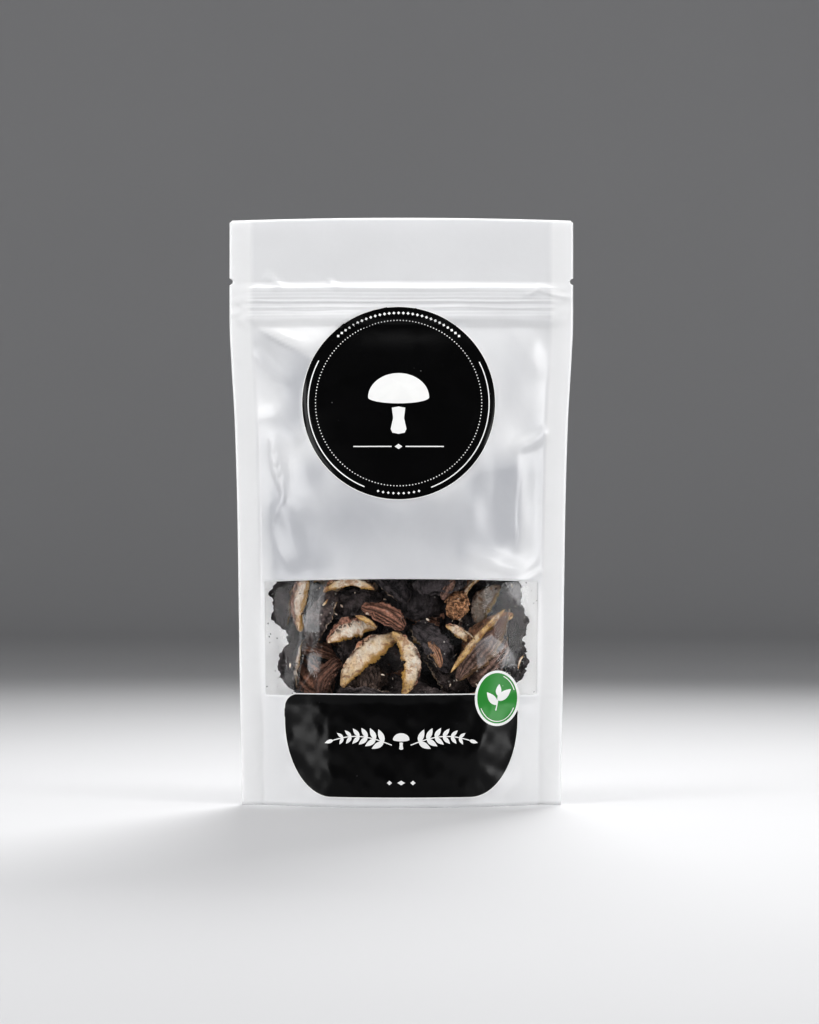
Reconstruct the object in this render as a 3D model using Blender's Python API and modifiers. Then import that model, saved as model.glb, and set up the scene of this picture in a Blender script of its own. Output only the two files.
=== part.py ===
"""Stand-up pouch of dried, sliced shiitake mushroom, with a clear window.

The pouch stands on its bottom rim at z = 0 and faces -Y, in metres, +Z up. Its film is two panels sealed along
their sides, with a folded gusset between them at the bottom. The slices lie packed between the panels.
"""

import math
import random

import bmesh
import bpy
from mathutils import Matrix, Vector
from mathutils.bvhtree import BVHTree

MM = 0.001

# The film: two flat panels and what joins them
PANEL_WIDTH = 130 * MM
PANEL_HEIGHT = 222 * MM
TOP_CROWN = 1.1 * MM
SIDE_SEAL = 8.5 * MM
FILM = 0.5 * MM
GAP = 0.3 * MM
FACE_GAP = 0.2 * MM
GUSSET_LEAF = 41 * MM
GUSSET_END = 2.5 * MM
RIM = 6 * MM
HALF_WIDTH = PANEL_WIDTH / 2
HALF_BODY = HALF_WIDTH - SIDE_SEAL

# How far the panels swell: height, and the angle in degrees at which a panel leaves its side seal
SWELL = (
    (0 * MM, 40.7),
    (RIM, 40.7),
    (42 * MM, 37.4),
    (107 * MM, 32.7),
    (144 * MM, 26.5),
    (170 * MM, 14.0),
    (183 * MM, 3.0),
    (190 * MM, 0.6),
    (PANEL_HEIGHT, 0.5),
)

# The press-to-close zip, and the room that it takes between the panels
ZIP_HEIGHT = 189.5 * MM
ZIP_BAND = 10 * MM
ZIP_FLANGE = 0.5 * MM
ZIP_ROOM = 1.7 * MM
ZIP_RAMP = 4 * MM
ZIP_RIB = 0.9 * MM
ZIP_RIB_PITCH = 2.7 * MM
ZIP_RIB_REACH = 1.45 * MM
ZIP_END = 5 * MM

# What is cut in the panels and stuck on them, measured in the front view
WINDOW_HALF_WIDTH = 51 * MM
WINDOW_BOTTOM = 41.7 * MM
WINDOW_TOP = 84.2 * MM
WINDOW_BOW = 1.4 * MM
NOTCH_HEIGHT = 198.5 * MM
NOTCH_RADIUS = 1.2 * MM
LABEL = 0.4 * MM
ROUND_LABEL_CENTRE = (-1.0 * MM, 151.8 * MM)
ROUND_LABEL_RADIUS = 36.6 * MM
LOWER_LABEL_HALF_WIDTH = 44 * MM
LOWER_LABEL_BOTTOM = 2.3 * MM
LOWER_LABEL_TOP = 42.4 * MM
LOWER_LABEL_TOP_CORNER = 5 * MM
LOWER_LABEL_FOOT_CORNER = (18 * MM, 29 * MM)
SEAL_CENTRE = (36.1 * MM, 40.7 * MM)
SEAL_RADII = (8.5 * MM, 10.4 * MM)

# The panels' grid: columns across the body, and the heights of the rows above the upright rim at the foot
BODY_COLUMNS = 18
BODY_ROW = 10 * MM
ZIP_ROW = 2 * MM
GUSSET_ROWS = 12

# The slices' grid, and the room that each keeps to its neighbours
SLICE_SIDES = 8
SLICE_RINGS = 10
SLICE_CLEAR = 0.35 * MM
FILM_CLEAR = 0.6 * MM
DEPTH_STEP = 0.5 * MM
NEAR_RINGS = 5
NEAR_STEP = 1.5 * MM

# Colour, roughness and metallic value of each material
FINISHES = {
    "film_white": ((0.86, 0.87, 0.89, 1.0), 0.32),
    "film_clear": ((0.90, 0.92, 0.93, 0.25), 0.10),
    "zip_plastic": ((0.82, 0.84, 0.86, 1.0), 0.30),
    "label_black": ((0.012, 0.012, 0.013, 1.0), 0.28),
    "seal_green": ((0.08, 0.30, 0.08, 1.0), 0.35),
    "shiitake_skin": ((0.035, 0.022, 0.018, 1.0), 0.75),
    "shiitake_brown": ((0.16, 0.08, 0.045, 1.0), 0.80),
    "shiitake_flesh": ((0.62, 0.46, 0.28, 1.0), 0.85),
}

# Slices that show in the window, nearest the film first: kind, place across and up, roll, yaw and spin in degrees,
# then length, radial height and cut thickness, all in millimetres
SHOWN_SLICES = (
    ("flesh", -13.3, 57.6, 40, 8, 0, 32, 8.5, 3.4),
    ("flesh", 3.7, 54.6, -81, -6, 10, 27, 6.8, 3.2),
    ("flesh", -19.4, 66.8, 17, 12, -12, 22, 8.0, 3.2),
    ("brown", -6.5, 72.4, -27, -10, 62, 19, 4.5, 7.0),
    ("flesh", 28.7, 63.6, 47, -20, 38, 32, 5.5, 9.0),
    ("flesh", 31.2, 76.6, 62, -14, 8, 19, 8.0, 3.4),
    ("flesh", 21.4, 66.0, -36, 5, 20, 11, 3.6, 3.0),
    ("brown", 21.2, 75.6, 75, 20, 30, 12, 8.0, 7.5),
    ("flesh", -38.4, 78.5, 78, -22, -10, 26, 5.5, 3.0),
    ("skin", 13.0, 60.6, -52, 6, 72, 23, 5.0, 11.0),
    ("skin", -19.0, 76.6, 6, -8, 80, 24, 4.6, 11.0),
    ("skin", 5.2, 77.2, 4, 4, 84, 30, 5.0, 15.0),
    ("skin", -31.0, 70.6, 64, -18, 75, 24, 4.6, 9.5),
    ("brown", 33.0, 54.4, 48, 16, 76, 22, 4.6, 11.0),
    ("skin", -13.0, 47.6, 8, 5, 82, 17, 5.0, 11.0),
    ("brown", 21.6, 48.2, 28, 12, 70, 23, 4.6, 10.0),
    ("brown", -34.2, 59.4, -12, -20, 40, 20, 4.6, 6.0),
    ("skin", -46.0, 74.6, 80, -34, 74, 18, 4.0, 8.0),
    ("skin", -41.0, 52.4, 82, -32, 70, 21, 4.4, 9.0),
    ("skin", 43.6, 69.6, 84, 34, 74, 18, 4.0, 8.0),
    ("skin", 43.6, 56.0, 78, 32, 76, 15, 4.0, 7.5),
    ("brown", -28.4, 48.6, 62, -12, 60, 17, 4.2, 7.0),
    ("skin", 39.0, 79.6, 12, 26, 76, 17, 4.2, 9.0),
    ("flesh", -19.8, 84.6, 3, -6, 20, 21, 4.6, 3.4),
    ("skin", -3.0, 60.0, 74, 0, 82, 22, 4.6, 14.0),
    ("flesh", 26.0, 83.4, 50, 10, 10, 13, 2.4, 2.4),
    ("skin", 14.8, 84.6, 8, 8, 80, 22, 4.6, 10.0),
    ("skin", 3.6, 44.0, -14, 0, 78, 24, 4.6, 10.0),
)

# The rest of the pile: how many slices, and the places across and up that they are tried at
FILL_COUNT = 23
FILL_SEED = 41
FILL_REACH = 46 * MM
FILL_HEIGHTS = (40 * MM, 86 * MM)
FILL_PLACES = (24, 12)


def smooth_through(points, at):
    """The value at `at` of a smooth curve through points of (place, value), with no overshoot."""
    places = [p for p, _ in points]
    values = [v for _, v in points]
    at = min(max(at, places[0]), places[-1])
    steps = [(values[i + 1] - values[i]) / (places[i + 1] - places[i]) for i in range(len(points) - 1)]
    slopes = [steps[0]] + [0.0] * (len(points) - 2) + [steps[-1]]
    for i in range(1, len(points) - 1):
        before, after = steps[i - 1], steps[i]
        if before * after > 0:
            slopes[i] = 2 * before * after / (before + after)
    i = max(j for j in range(len(points) - 1) if places[j] <= at)
    width = places[i + 1] - places[i]
    t = (at - places[i]) / width
    return (
        values[i] * (2 * t**3 - 3 * t**2 + 1)
        + slopes[i] * width * (t**3 - 2 * t**2 + t)
        + values[i + 1] * (3 * t**2 - 2 * t**3)
        + slopes[i + 1] * width * (t**3 - t**2)
    )


def ramp(value, low, high):
    """0 below low, 1 above high, and a smooth step between them."""
    t = min(max((value - low) / (high - low), 0.0), 1.0)
    return t * t * (3 - 2 * t)


def zip_room(across, height):
    """How far the closed zip holds a panel off the middle plane."""
    half = ZIP_BAND / 2
    up = ramp(height, ZIP_HEIGHT - half - ZIP_RAMP, ZIP_HEIGHT - half)
    down = 1 - ramp(height, ZIP_HEIGHT + half, ZIP_HEIGHT + half + ZIP_RAMP)
    end = 1 - ramp(abs(across), HALF_BODY - ZIP_END + 1 * MM, HALF_BODY)
    return ZIP_ROOM * up * down * end


def panel_point(across, height, side):
    """A point of a panel's inner face, from its place on the flat film. Side is -1 at the front and 1 at the back."""
    angle = math.radians(smooth_through(SWELL, height))
    radius = HALF_BODY / angle
    if abs(across) <= HALF_BODY:
        turn = angle * across / HALF_BODY
        x = radius * math.sin(turn)
        depth = radius * (math.cos(turn) - math.cos(angle))
    else:
        x = math.copysign(radius * math.sin(angle) + abs(across) - HALF_BODY, across)
        depth = 0.0
    depth += zip_room(across, height)
    z = height - TOP_CROWN * (across / HALF_WIDTH) ** 2 * (height / PANEL_HEIGHT) ** 4
    return Vector((x, side * (FACE_GAP + depth), z))


def inner_depth(x, height):
    """How far the panels' inner faces stand off the middle plane at a place of the pouch, seen from the front."""
    angle = math.radians(smooth_through(SWELL, height))
    radius = HALF_BODY / angle
    if abs(x) >= radius * math.sin(angle):
        return FACE_GAP
    return FACE_GAP + math.sqrt(radius**2 - x**2) - radius * math.cos(angle)


def gusset_arch(x):
    """Half width and height of the gusset's arch at a place across the pouch, on its underside."""
    half = inner_depth(x, 0) - GAP - FILM
    rise = math.sqrt(GUSSET_LEAF**2 - 1.9 * half**2)
    return half, rise


def new_material(name):
    colour, roughness = FINISHES[name]
    material = bpy.data.materials.new(name)
    material.use_nodes = True
    shader = material.node_tree.nodes["Principled BSDF"]
    shader.inputs["Base Color"].default_value = colour[:3] + (1.0,)
    shader.inputs["Alpha"].default_value = colour[3]
    shader.inputs["Roughness"].default_value = roughness
    shader.inputs["Metallic"].default_value = 0.0
    return material


def new_object(name, mesh, collection, material):
    """An object for a mesh, with its finish, in the collection."""
    obj = bpy.data.objects.new(name, mesh)
    obj.data.materials.append(material)
    collection.objects.link(obj)
    return obj


def film_sheet(name, columns, rows, place, offset=0.0):
    """A grid whose points are moved to place(column, row), then along their normals by offset."""
    mesh = bpy.data.meshes.new(name)
    grid = bmesh.new()
    bmesh.ops.create_grid(grid, x_segments=len(columns) - 1, y_segments=len(rows) - 1, size=1)
    for vert in grid.verts:
        column = round((vert.co.x + 1) / 2 * (len(columns) - 1))
        row = round((vert.co.y + 1) / 2 * (len(rows) - 1))
        vert.co = place(columns[column], rows[row])
    grid.normal_update()
    for vert in grid.verts:
        vert.co += vert.normal * offset
    grid.to_mesh(mesh)
    grid.free()
    mesh.shade_smooth()
    return mesh


def thicken(obj, thickness):
    """Gives an open sheet its thickness on the side that its faces point to."""
    solidify = obj.modifiers.new("film", "SOLIDIFY")
    solidify.thickness = thickness
    solidify.offset = 1


def panel_columns():
    body = [HALF_BODY * (2 * i / BODY_COLUMNS - 1) for i in range(BODY_COLUMNS + 1)]
    return [-HALF_WIDTH] + body + [HALF_WIDTH]


def panel_rows():
    zip_low = ZIP_HEIGHT - ZIP_BAND / 2 - ZIP_RAMP
    zip_high = ZIP_HEIGHT + ZIP_BAND / 2 + ZIP_RAMP
    body = round((zip_low - RIM) / BODY_ROW)
    band = round((zip_high - zip_low) / ZIP_ROW)
    rows = [0.0] + [RIM + (zip_low - RIM) * i / body for i in range(body)]
    rows += [zip_low + (zip_high - zip_low) * i / band for i in range(band + 1)]
    return rows + [(zip_high + PANEL_HEIGHT) / 2, PANEL_HEIGHT]


def panel_sheet(name, side, offset=0.0):
    """A panel's face, with its front to -Y on side -1, and facing +Y on side 1."""
    columns = panel_columns() if side < 0 else panel_columns()[::-1]
    return film_sheet(name, columns, panel_rows(), lambda a, h: panel_point(a, h, side), offset)


def outline_prism(name, outline, depth, collection):
    """A hidden cutter: an outline of (x, z) points, extruded along Y by depth each way."""
    curve = bpy.data.curves.new(name, "CURVE")
    curve.dimensions = "2D"
    curve.fill_mode = "BOTH"
    curve.extrude = depth
    spline = curve.splines.new("POLY")
    spline.points.add(len(outline) - 1)
    for point, (x, z) in zip(spline.points, outline):
        point.co = (x, z, 0, 1)
    spline.use_cyclic_u = True
    holder = bpy.data.objects.new(name, curve)
    collection.objects.link(holder)
    holder.rotation_euler.x = math.radians(90)
    bpy.context.view_layer.update()
    graph = bpy.context.evaluated_depsgraph_get()
    mesh = bpy.data.meshes.new_from_object(holder.evaluated_get(graph))
    mesh.transform(holder.matrix_world)
    bpy.data.objects.remove(holder)
    shape = bmesh.new()
    shape.from_mesh(mesh)
    bmesh.ops.remove_doubles(shape, verts=shape.verts, dist=0.01 * MM)
    bmesh.ops.recalc_face_normals(shape, faces=shape.faces)
    shape.to_mesh(mesh)
    shape.free()
    cutter = bpy.data.objects.new(name, mesh)
    collection.objects.link(cutter)
    cutter.hide_render = True
    cutter.display_type = "WIRE"
    return cutter


def cut(obj, cutter, operation):
    boolean = obj.modifiers.new(cutter.name, "BOOLEAN")
    boolean.object = cutter
    boolean.operation = operation


def arc_points(centre, radii, start, end, count):
    """Points of an elliptical arc, its angles in degrees."""
    turns = [math.radians(start + (end - start) * i / count) for i in range(count + 1)]
    return [(centre[0] + radii[0] * math.cos(t), centre[1] + radii[1] * math.sin(t)) for t in turns]


def window_outline(inset):
    """The window's outline, its top edge bowed, drawn in by inset."""
    half, low, high = WINDOW_HALF_WIDTH - inset, WINDOW_BOTTOM + inset, WINDOW_TOP - inset
    top = [half * (1 - 2 * i / BODY_COLUMNS) for i in range(BODY_COLUMNS + 1)]
    bowed = [(x, high + WINDOW_BOW * (1 - (x / half) ** 2)) for x in top]
    return [(-half, low), (half, low)] + bowed


def lower_label_outline():
    """Small round corners at the top and long ones at the foot."""
    half, small, foot = LOWER_LABEL_HALF_WIDTH, LOWER_LABEL_TOP_CORNER, LOWER_LABEL_FOOT_CORNER
    low, high = LOWER_LABEL_BOTTOM, LOWER_LABEL_TOP
    return (
        arc_points((half - small, high - small), (small, small), 90, 0, 5)
        + arc_points((half - foot[0], low + foot[1]), foot, 0, -90, 8)
        + arc_points((foot[0] - half, low + foot[1]), foot, -90, -180, 8)
        + arc_points((small - half, high - small), (small, small), 180, 90, 5)
    )


def build_panels(parts, cutters, finish):
    """The two printed panels with their tear notches, and the clear film in the front one's window."""
    notches = [
        outline_prism(
            f"notch_{name}",
            arc_points((side * HALF_WIDTH, NOTCH_HEIGHT), (NOTCH_RADIUS, NOTCH_RADIUS), 0, 330, 11),
            5 * MM,
            cutters,
        )
        for name, side in (("left", -1), ("right", 1))
    ]
    for name, side in (("front_panel", -1), ("back_panel", 1)):
        panel = new_object(name, panel_sheet(name, side), parts, finish["film_white"])
        thicken(panel, FILM)
        for notch in notches:
            cut(panel, notch, "DIFFERENCE")
    opening = outline_prism("window_opening", window_outline(0), 60 * MM, cutters)
    cut(parts.objects["front_panel"], opening, "DIFFERENCE")
    clear = new_object("window_film", panel_sheet("window_film", -1), parts, finish["film_clear"])
    thicken(clear, FILM)
    cut(clear, outline_prism("window_edge", window_outline(GAP), 60 * MM, cutters), "INTERSECT")


def build_labels(parts, cutters, finish):
    """The round label, the lower label and the small seal that laps over it, each a sheet along the front panel."""
    on_film = FILM + GAP
    on_label = on_film + LABEL + GAP
    round_outline = arc_points(ROUND_LABEL_CENTRE, (ROUND_LABEL_RADIUS,) * 2, 0, 352.5, 47)
    seal_outline = arc_points(SEAL_CENTRE, SEAL_RADII, 0, 345, 23)
    for name, outline, offset, slot in (
        ("round_label", round_outline, on_film, "label_black"),
        ("lower_label", lower_label_outline(), on_film, "label_black"),
        ("small_seal", seal_outline, on_label, "seal_green"),
    ):
        label = new_object(name, panel_sheet(name, -1, offset), parts, finish[slot])
        thicken(label, LABEL)
        cut(label, outline_prism(f"{name}_edge", outline, 60 * MM, cutters), "INTERSECT")


def build_gusset(parts, finish):
    """The bottom film, folded up between the panels and opened into an arch from the front rim to the back one."""
    reach = panel_point(HALF_BODY - GUSSET_END, 0, -1).x
    columns = [reach * (2 * i / BODY_COLUMNS - 1) for i in range(BODY_COLUMNS + 1)]
    rows = [math.pi * i / GUSSET_ROWS for i in range(GUSSET_ROWS + 1)]

    def place(x, turn):
        half, rise = gusset_arch(x)
        return Vector((x, -half * math.cos(turn), rise * math.sin(turn)))

    gusset = new_object("bottom_gusset", film_sheet("bottom_gusset", columns, rows, place), parts, finish["film_white"])
    thicken(gusset, FILM)


def build_zip(parts, finish):
    """The two tracks of the press-to-close zip: a pair of ribs at the front that grip one rib at the back."""
    half_length = HALF_BODY - ZIP_END
    face = FACE_GAP + ZIP_ROOM - GAP
    for name, side, ribs in (
        ("zip_track_front", -1, (-ZIP_RIB_PITCH / 2, ZIP_RIB_PITCH / 2)),
        ("zip_track_back", 1, (0.0,)),
    ):
        outline = [(face, -ZIP_BAND / 2), (face, ZIP_BAND / 2), (face - ZIP_FLANGE, ZIP_BAND / 2)]
        for rib in reversed(ribs):
            top, low = rib + ZIP_RIB / 2, rib - ZIP_RIB / 2
            tip = face - ZIP_FLANGE - ZIP_RIB_REACH
            outline += [(face - ZIP_FLANGE, top), (tip, top), (tip, low), (face - ZIP_FLANGE, low)]
        outline.append((face - ZIP_FLANGE, -ZIP_BAND / 2))
        curve = bpy.data.curves.new(name, "CURVE")
        curve.dimensions = "2D"
        curve.fill_mode = "BOTH"
        curve.extrude = half_length
        spline = curve.splines.new("POLY")
        spline.points.add(len(outline) - 1)
        for point, (depth, height) in zip(spline.points, outline):
            point.co = (side * depth, height, 0, 1)
        spline.use_cyclic_u = True
        track = new_object(name, curve, parts, finish["zip_plastic"])
        track.rotation_euler = (math.radians(90), 0, math.radians(90))
        track.location.z = ZIP_HEIGHT


class Slice:
    """The form of one slice. Its length runs along X, its skin faces +Z and its cut faces are to -Y and +Y."""

    def __init__(self, seed, kind, roll, yaw, spin, length, height, thickness):
        draw = random.Random(seed)
        self.kind = kind
        self.turn = (
            Matrix.Rotation(math.radians(yaw), 3, "Z")
            @ Matrix.Rotation(math.radians(-roll), 3, "Y")
            @ Matrix.Rotation(math.radians(spin), 3, "X")
        )
        self.length = length * MM
        self.height = height * MM
        self.thickness = thickness * MM
        self.arc = math.radians(draw.uniform(55, 95))
        self.end = draw.uniform(0.45, 0.65)
        self.curl = draw.uniform(-0.05, 0.05) * self.length
        self.twist = math.radians(draw.uniform(-14, 14))
        self.phase = draw.uniform(0, 2 * math.pi)
        self.wave = draw.uniform(0.03, 0.07)

    def point(self, along, around):
        """A surface point: along runs from -1 to 1 down the length, and around turns about it, from the cut face at 0."""
        taper = max(1 - along**2, 0.0) ** 0.3
        flat = math.copysign(abs(math.cos(around)) ** 0.6, math.cos(around))
        tall = math.copysign(abs(math.sin(around)) ** 0.8, math.sin(around))
        deep = self.end + (1 - self.end) * (1 - along**2)
        ripple = 1 + self.wave * math.sin(5 * along + self.phase) * math.cos(2 * around)
        y = flat * self.thickness / 2 * taper * ripple
        z = tall * self.height / 2 * taper * deep * ripple
        y += self.curl * (along**2 - 1 / 3)
        lean = self.twist * along
        y, z = y * math.cos(lean) - z * math.sin(lean), y * math.sin(lean) + z * math.cos(lean)
        radius = self.length / (2 * math.sin(self.arc / 2)) - self.height / 4
        bend = along * self.arc / 2
        local = Vector(((radius + z) * math.sin(bend), y, (radius + z) * math.cos(bend) - radius))
        return self.turn @ local

    def mesh(self):
        """A sphere whose poles are the slice's two ends, moved to its surface."""
        shape = bmesh.new()
        bmesh.ops.create_uvsphere(shape, u_segments=SLICE_SIDES, v_segments=SLICE_RINGS, radius=1)
        for vert in shape.verts:
            polar = math.acos(min(max(vert.co.z, -1.0), 1.0))
            vert.co = self.point(1 - polar / math.pi * 2, math.atan2(vert.co.y, vert.co.x))
        mesh = bpy.data.meshes.new("slice")
        shape.to_mesh(mesh)
        shape.free()
        mesh.shade_smooth()
        return mesh


class Pile:
    """The slices placed so far, and the room that is left between the panels."""

    def __init__(self):
        self.placed = []
        self.seen = []

    def bareness(self, place):
        """How far a place of the front view is from the nearest point of a slice."""
        return min(math.hypot(place[0] - x, place[1] - z) for x, z in self.seen)

    def fits(self, points):
        """Whether every point is between the panels and above the gusset."""
        for p in points:
            if abs(p.y) > inner_depth(p.x, p.z) - FILM_CLEAR:
                return False
            half, rise = gusset_arch(p.x) if abs(p.x) < HALF_BODY * 0.85 else (0, GUSSET_LEAF)
            if p.z < FILM_CLEAR + FILM + rise * math.sqrt(max(1 - (p.y / (half + FILM)) ** 2, 0) if half else 1):
                return False
        return True

    def meets(self, low, high, points, faces):
        """Whether a slice that fills the box from low to high cuts one that is placed."""
        tree = None
        for other_low, other_high, other in self.placed:
            if all(low[i] < other_high[i] and high[i] > other_low[i] for i in range(3)):
                tree = tree or BVHTree.FromPolygons(points, faces)
                if tree.overlap(other):
                    return True
        return False

    def place(self, form, x, z):
        """Puts a slice as near the front film as it goes at (x, z), and returns its place, or None where it has no room."""
        mesh = form.mesh()
        faces = [tuple(p.vertices) for p in mesh.polygons]
        wide = [v.co + v.normal * SLICE_CLEAR for v in mesh.vertices]
        depth = -inner_depth(x, z)
        while depth < inner_depth(x, z):
            shift = Vector((x, depth, z))
            points = [p + shift for p in wide]
            low = [min(p[i] for p in points) for i in range(3)]
            high = [max(p[i] for p in points) for i in range(3)]
            if self.fits(points) and not self.meets(low, high, points, faces):
                self.placed.append((low, high, BVHTree.FromPolygons(points, faces)))
                self.seen += [(p.x, p.z) for p in points]
                return mesh, shift
            depth += DEPTH_STEP
        bpy.data.meshes.remove(mesh)
        return None

    def place_near(self, form, x, z):
        """Puts a slice at (x, z), or at the nearest place round it that has room."""
        for ring in range(NEAR_RINGS):
            for spoke in range(8 if ring else 1):
                turn = math.radians(45 * spoke)
                away = ring * NEAR_STEP
                found = self.place(form, x + away * math.cos(turn), z + away * math.sin(turn))
                if found:
                    return found
        return None


def fill_form(number, x):
    """The form of a slice of the rest of the pile, turned along the front film at its place across."""
    draw = random.Random(FILL_SEED + number)
    kind = draw.choice(("skin", "skin", "brown", "flesh"))
    roll, lean = draw.uniform(-90, 90), draw.uniform(-8, 8)
    length = draw.uniform(19, 26)
    if kind == "flesh":
        spin, height, thickness = draw.uniform(-20, 20), draw.uniform(6.5, 8.5), 3.4
    else:
        spin, height, thickness = draw.uniform(70, 88), draw.uniform(4, 5), draw.uniform(9, 13)
    yaw = 32 * x / FILL_REACH + lean
    return Slice(FILL_SEED + number, kind, roll, yaw, spin, length, height, thickness)


def fill_places():
    """A grid of places across and up the window."""
    across, up = FILL_PLACES
    low, high = FILL_HEIGHTS
    return [
        (FILL_REACH * (2 * i / (across - 1) - 1), low + (high - low) * j / (up - 1))
        for i in range(across)
        for j in range(up)
    ]


def build_slices(parts, finish):
    """The shown slices where the window has them, then the rest, each where the pile is thinnest in the front view."""
    pile = Pile()
    for number, (kind, x, z, *form) in enumerate(SHOWN_SLICES, 1):
        found = pile.place_near(Slice(number, kind, *form), x * MM, z * MM)
        if found is None:
            raise ValueError(f"slice {number} has no room at {x}, {z}")
        add_slice(number, kind, found, parts, finish)
    for extra in range(FILL_COUNT):
        for x, z in sorted(fill_places(), key=pile.bareness, reverse=True):
            form = fill_form(extra, x)
            found = pile.place(form, x, z)
            if found:
                add_slice(len(pile.placed), form.kind, found, parts, finish)
                break


def add_slice(number, kind, found, parts, finish):
    mesh, shift = found
    mesh.name = f"shiitake_slice_{number:02d}"
    obj = new_object(mesh.name, mesh, parts, finish[f"shiitake_{kind}"])
    obj.location = shift


def new_collection(name):
    collection = bpy.data.collections.new(name)
    bpy.context.scene.collection.children.link(collection)
    return collection


def main():
    for obj in list(bpy.data.objects):
        bpy.data.objects.remove(obj)
    parts = new_collection("shiitake_pouch")
    cutters = new_collection("cutters")
    finish = {name: new_material(name) for name in FINISHES}
    build_panels(parts, cutters, finish)
    build_labels(parts, cutters, finish)
    build_gusset(parts, finish)
    build_zip(parts, finish)
    build_slices(parts, finish)


main()
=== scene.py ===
"""Looks of a stand-up pouch of dried, sliced shiitake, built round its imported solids.

The pouch stands at z = 0 and faces -Y, in metres, +Z up. Its film, labels and slices are fine meshes over the
solids.
"""

import math
import random

import bmesh
import bpy
import numpy as np
from bpy.props import FloatProperty, FloatVectorProperty, IntProperty, PointerProperty
from mathutils import Matrix, Vector, noise


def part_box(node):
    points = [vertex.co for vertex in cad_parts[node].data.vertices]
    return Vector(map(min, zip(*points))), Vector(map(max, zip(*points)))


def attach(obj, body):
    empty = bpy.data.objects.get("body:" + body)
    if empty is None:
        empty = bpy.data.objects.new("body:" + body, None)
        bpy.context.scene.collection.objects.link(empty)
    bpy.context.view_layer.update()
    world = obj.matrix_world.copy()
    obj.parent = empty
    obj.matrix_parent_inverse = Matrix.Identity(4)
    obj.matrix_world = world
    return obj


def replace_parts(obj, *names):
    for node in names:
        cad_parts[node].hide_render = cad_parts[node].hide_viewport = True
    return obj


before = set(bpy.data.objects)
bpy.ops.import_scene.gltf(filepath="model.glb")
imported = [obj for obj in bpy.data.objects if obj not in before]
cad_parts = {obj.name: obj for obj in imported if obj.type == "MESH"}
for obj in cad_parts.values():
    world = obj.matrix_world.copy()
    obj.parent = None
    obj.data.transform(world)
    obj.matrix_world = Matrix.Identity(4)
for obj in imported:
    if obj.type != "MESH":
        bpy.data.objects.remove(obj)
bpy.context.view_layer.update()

bl_info = {
    "name": "Shiitake pouch",
    "version": (1, 0, 0),
    "blender": (4, 5, 0),
    "location": "3D View > Sidebar > Pouch",
    "description": "Builds the film, labels and dried slices of a stand-up pouch",
    "category": "Add Mesh",
}

MM = 0.001

# The film's form, as the solids have it
HALF_WIDTH = 65 * MM
PANEL_HEIGHT = 222 * MM
TOP_CROWN = 1.1 * MM
HALF_BODY = 56.5 * MM
CAD_FILM = 0.5 * MM
CAD_GAP = 0.3 * MM
FACE_GAP = 0.2 * MM
GUSSET_LEAF = 41 * MM
GUSSET_END = 2.5 * MM
RIM = 6 * MM
SWELL = np.array((
    (0, 40.7), (6, 40.7), (42, 37.4), (107, 32.7), (144, 26.5), (170, 14.0), (183, 3.0), (190, 0.6),
    (222, 0.5),
)) * (MM, math.pi / 180)
BODY_TOP = 183 * MM
ZIP_HEIGHT = 189.5 * MM
ZIP_BAND = 10 * MM
ZIP_ROOM = 1.7 * MM
ZIP_RAMP = 4 * MM
# How far across the zip's bulge starts to fall away to the side seal
ZIP_FADE = HALF_BODY - 4 * MM
NOTCH_HEIGHT = 198.5 * MM
NOTCH_RADIUS = 1.2 * MM
CORNER = 0.9 * MM
# Heights of the round mark at each side of the foot and of the gusset's top line, in millimetres
FOOT_MARK = 16.3
GUSSET_LINE = 41.5

# The window, measured along the film
WINDOW_REACH = 54.6 * MM
WINDOW_BOTTOM = 41.7 * MM
WINDOW_TOP = 84.2 * MM
WINDOW_BOW = 1.4 * MM
WINDOW_SLIT = 0.05 * MM

# The labels, in the front view
ROUND_CENTRE = np.array((-1.0, 151.8)) * MM
ROUND_RADIUS = 36.6 * MM
LOWER_HALF_WIDTH = 44 * MM
LOWER_BOTTOM = 3.7 * MM
LOWER_TOP = 42.4 * MM
LOWER_CORNER = 5 * MM
LOWER_FOOT = (18 * MM, 29 * MM)
SEAL_CENTRE = np.array((36.1, 40.7)) * MM
SEAL_RADII = np.array((8.5, 10.4)) * MM
# How far off the film the stickers' two faces are, and how far their print stands out
LABEL_BACK = 0.02 * MM
LABEL_FACE = 0.20 * MM
SEAL_BACK = 0.28 * MM
SEAL_FACE = 0.46 * MM
PRINT_DEPTH = 0.03 * MM
# Edges sharper than this stay crisp on the stickers
SHARP_EDGE = math.radians(40)

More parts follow.
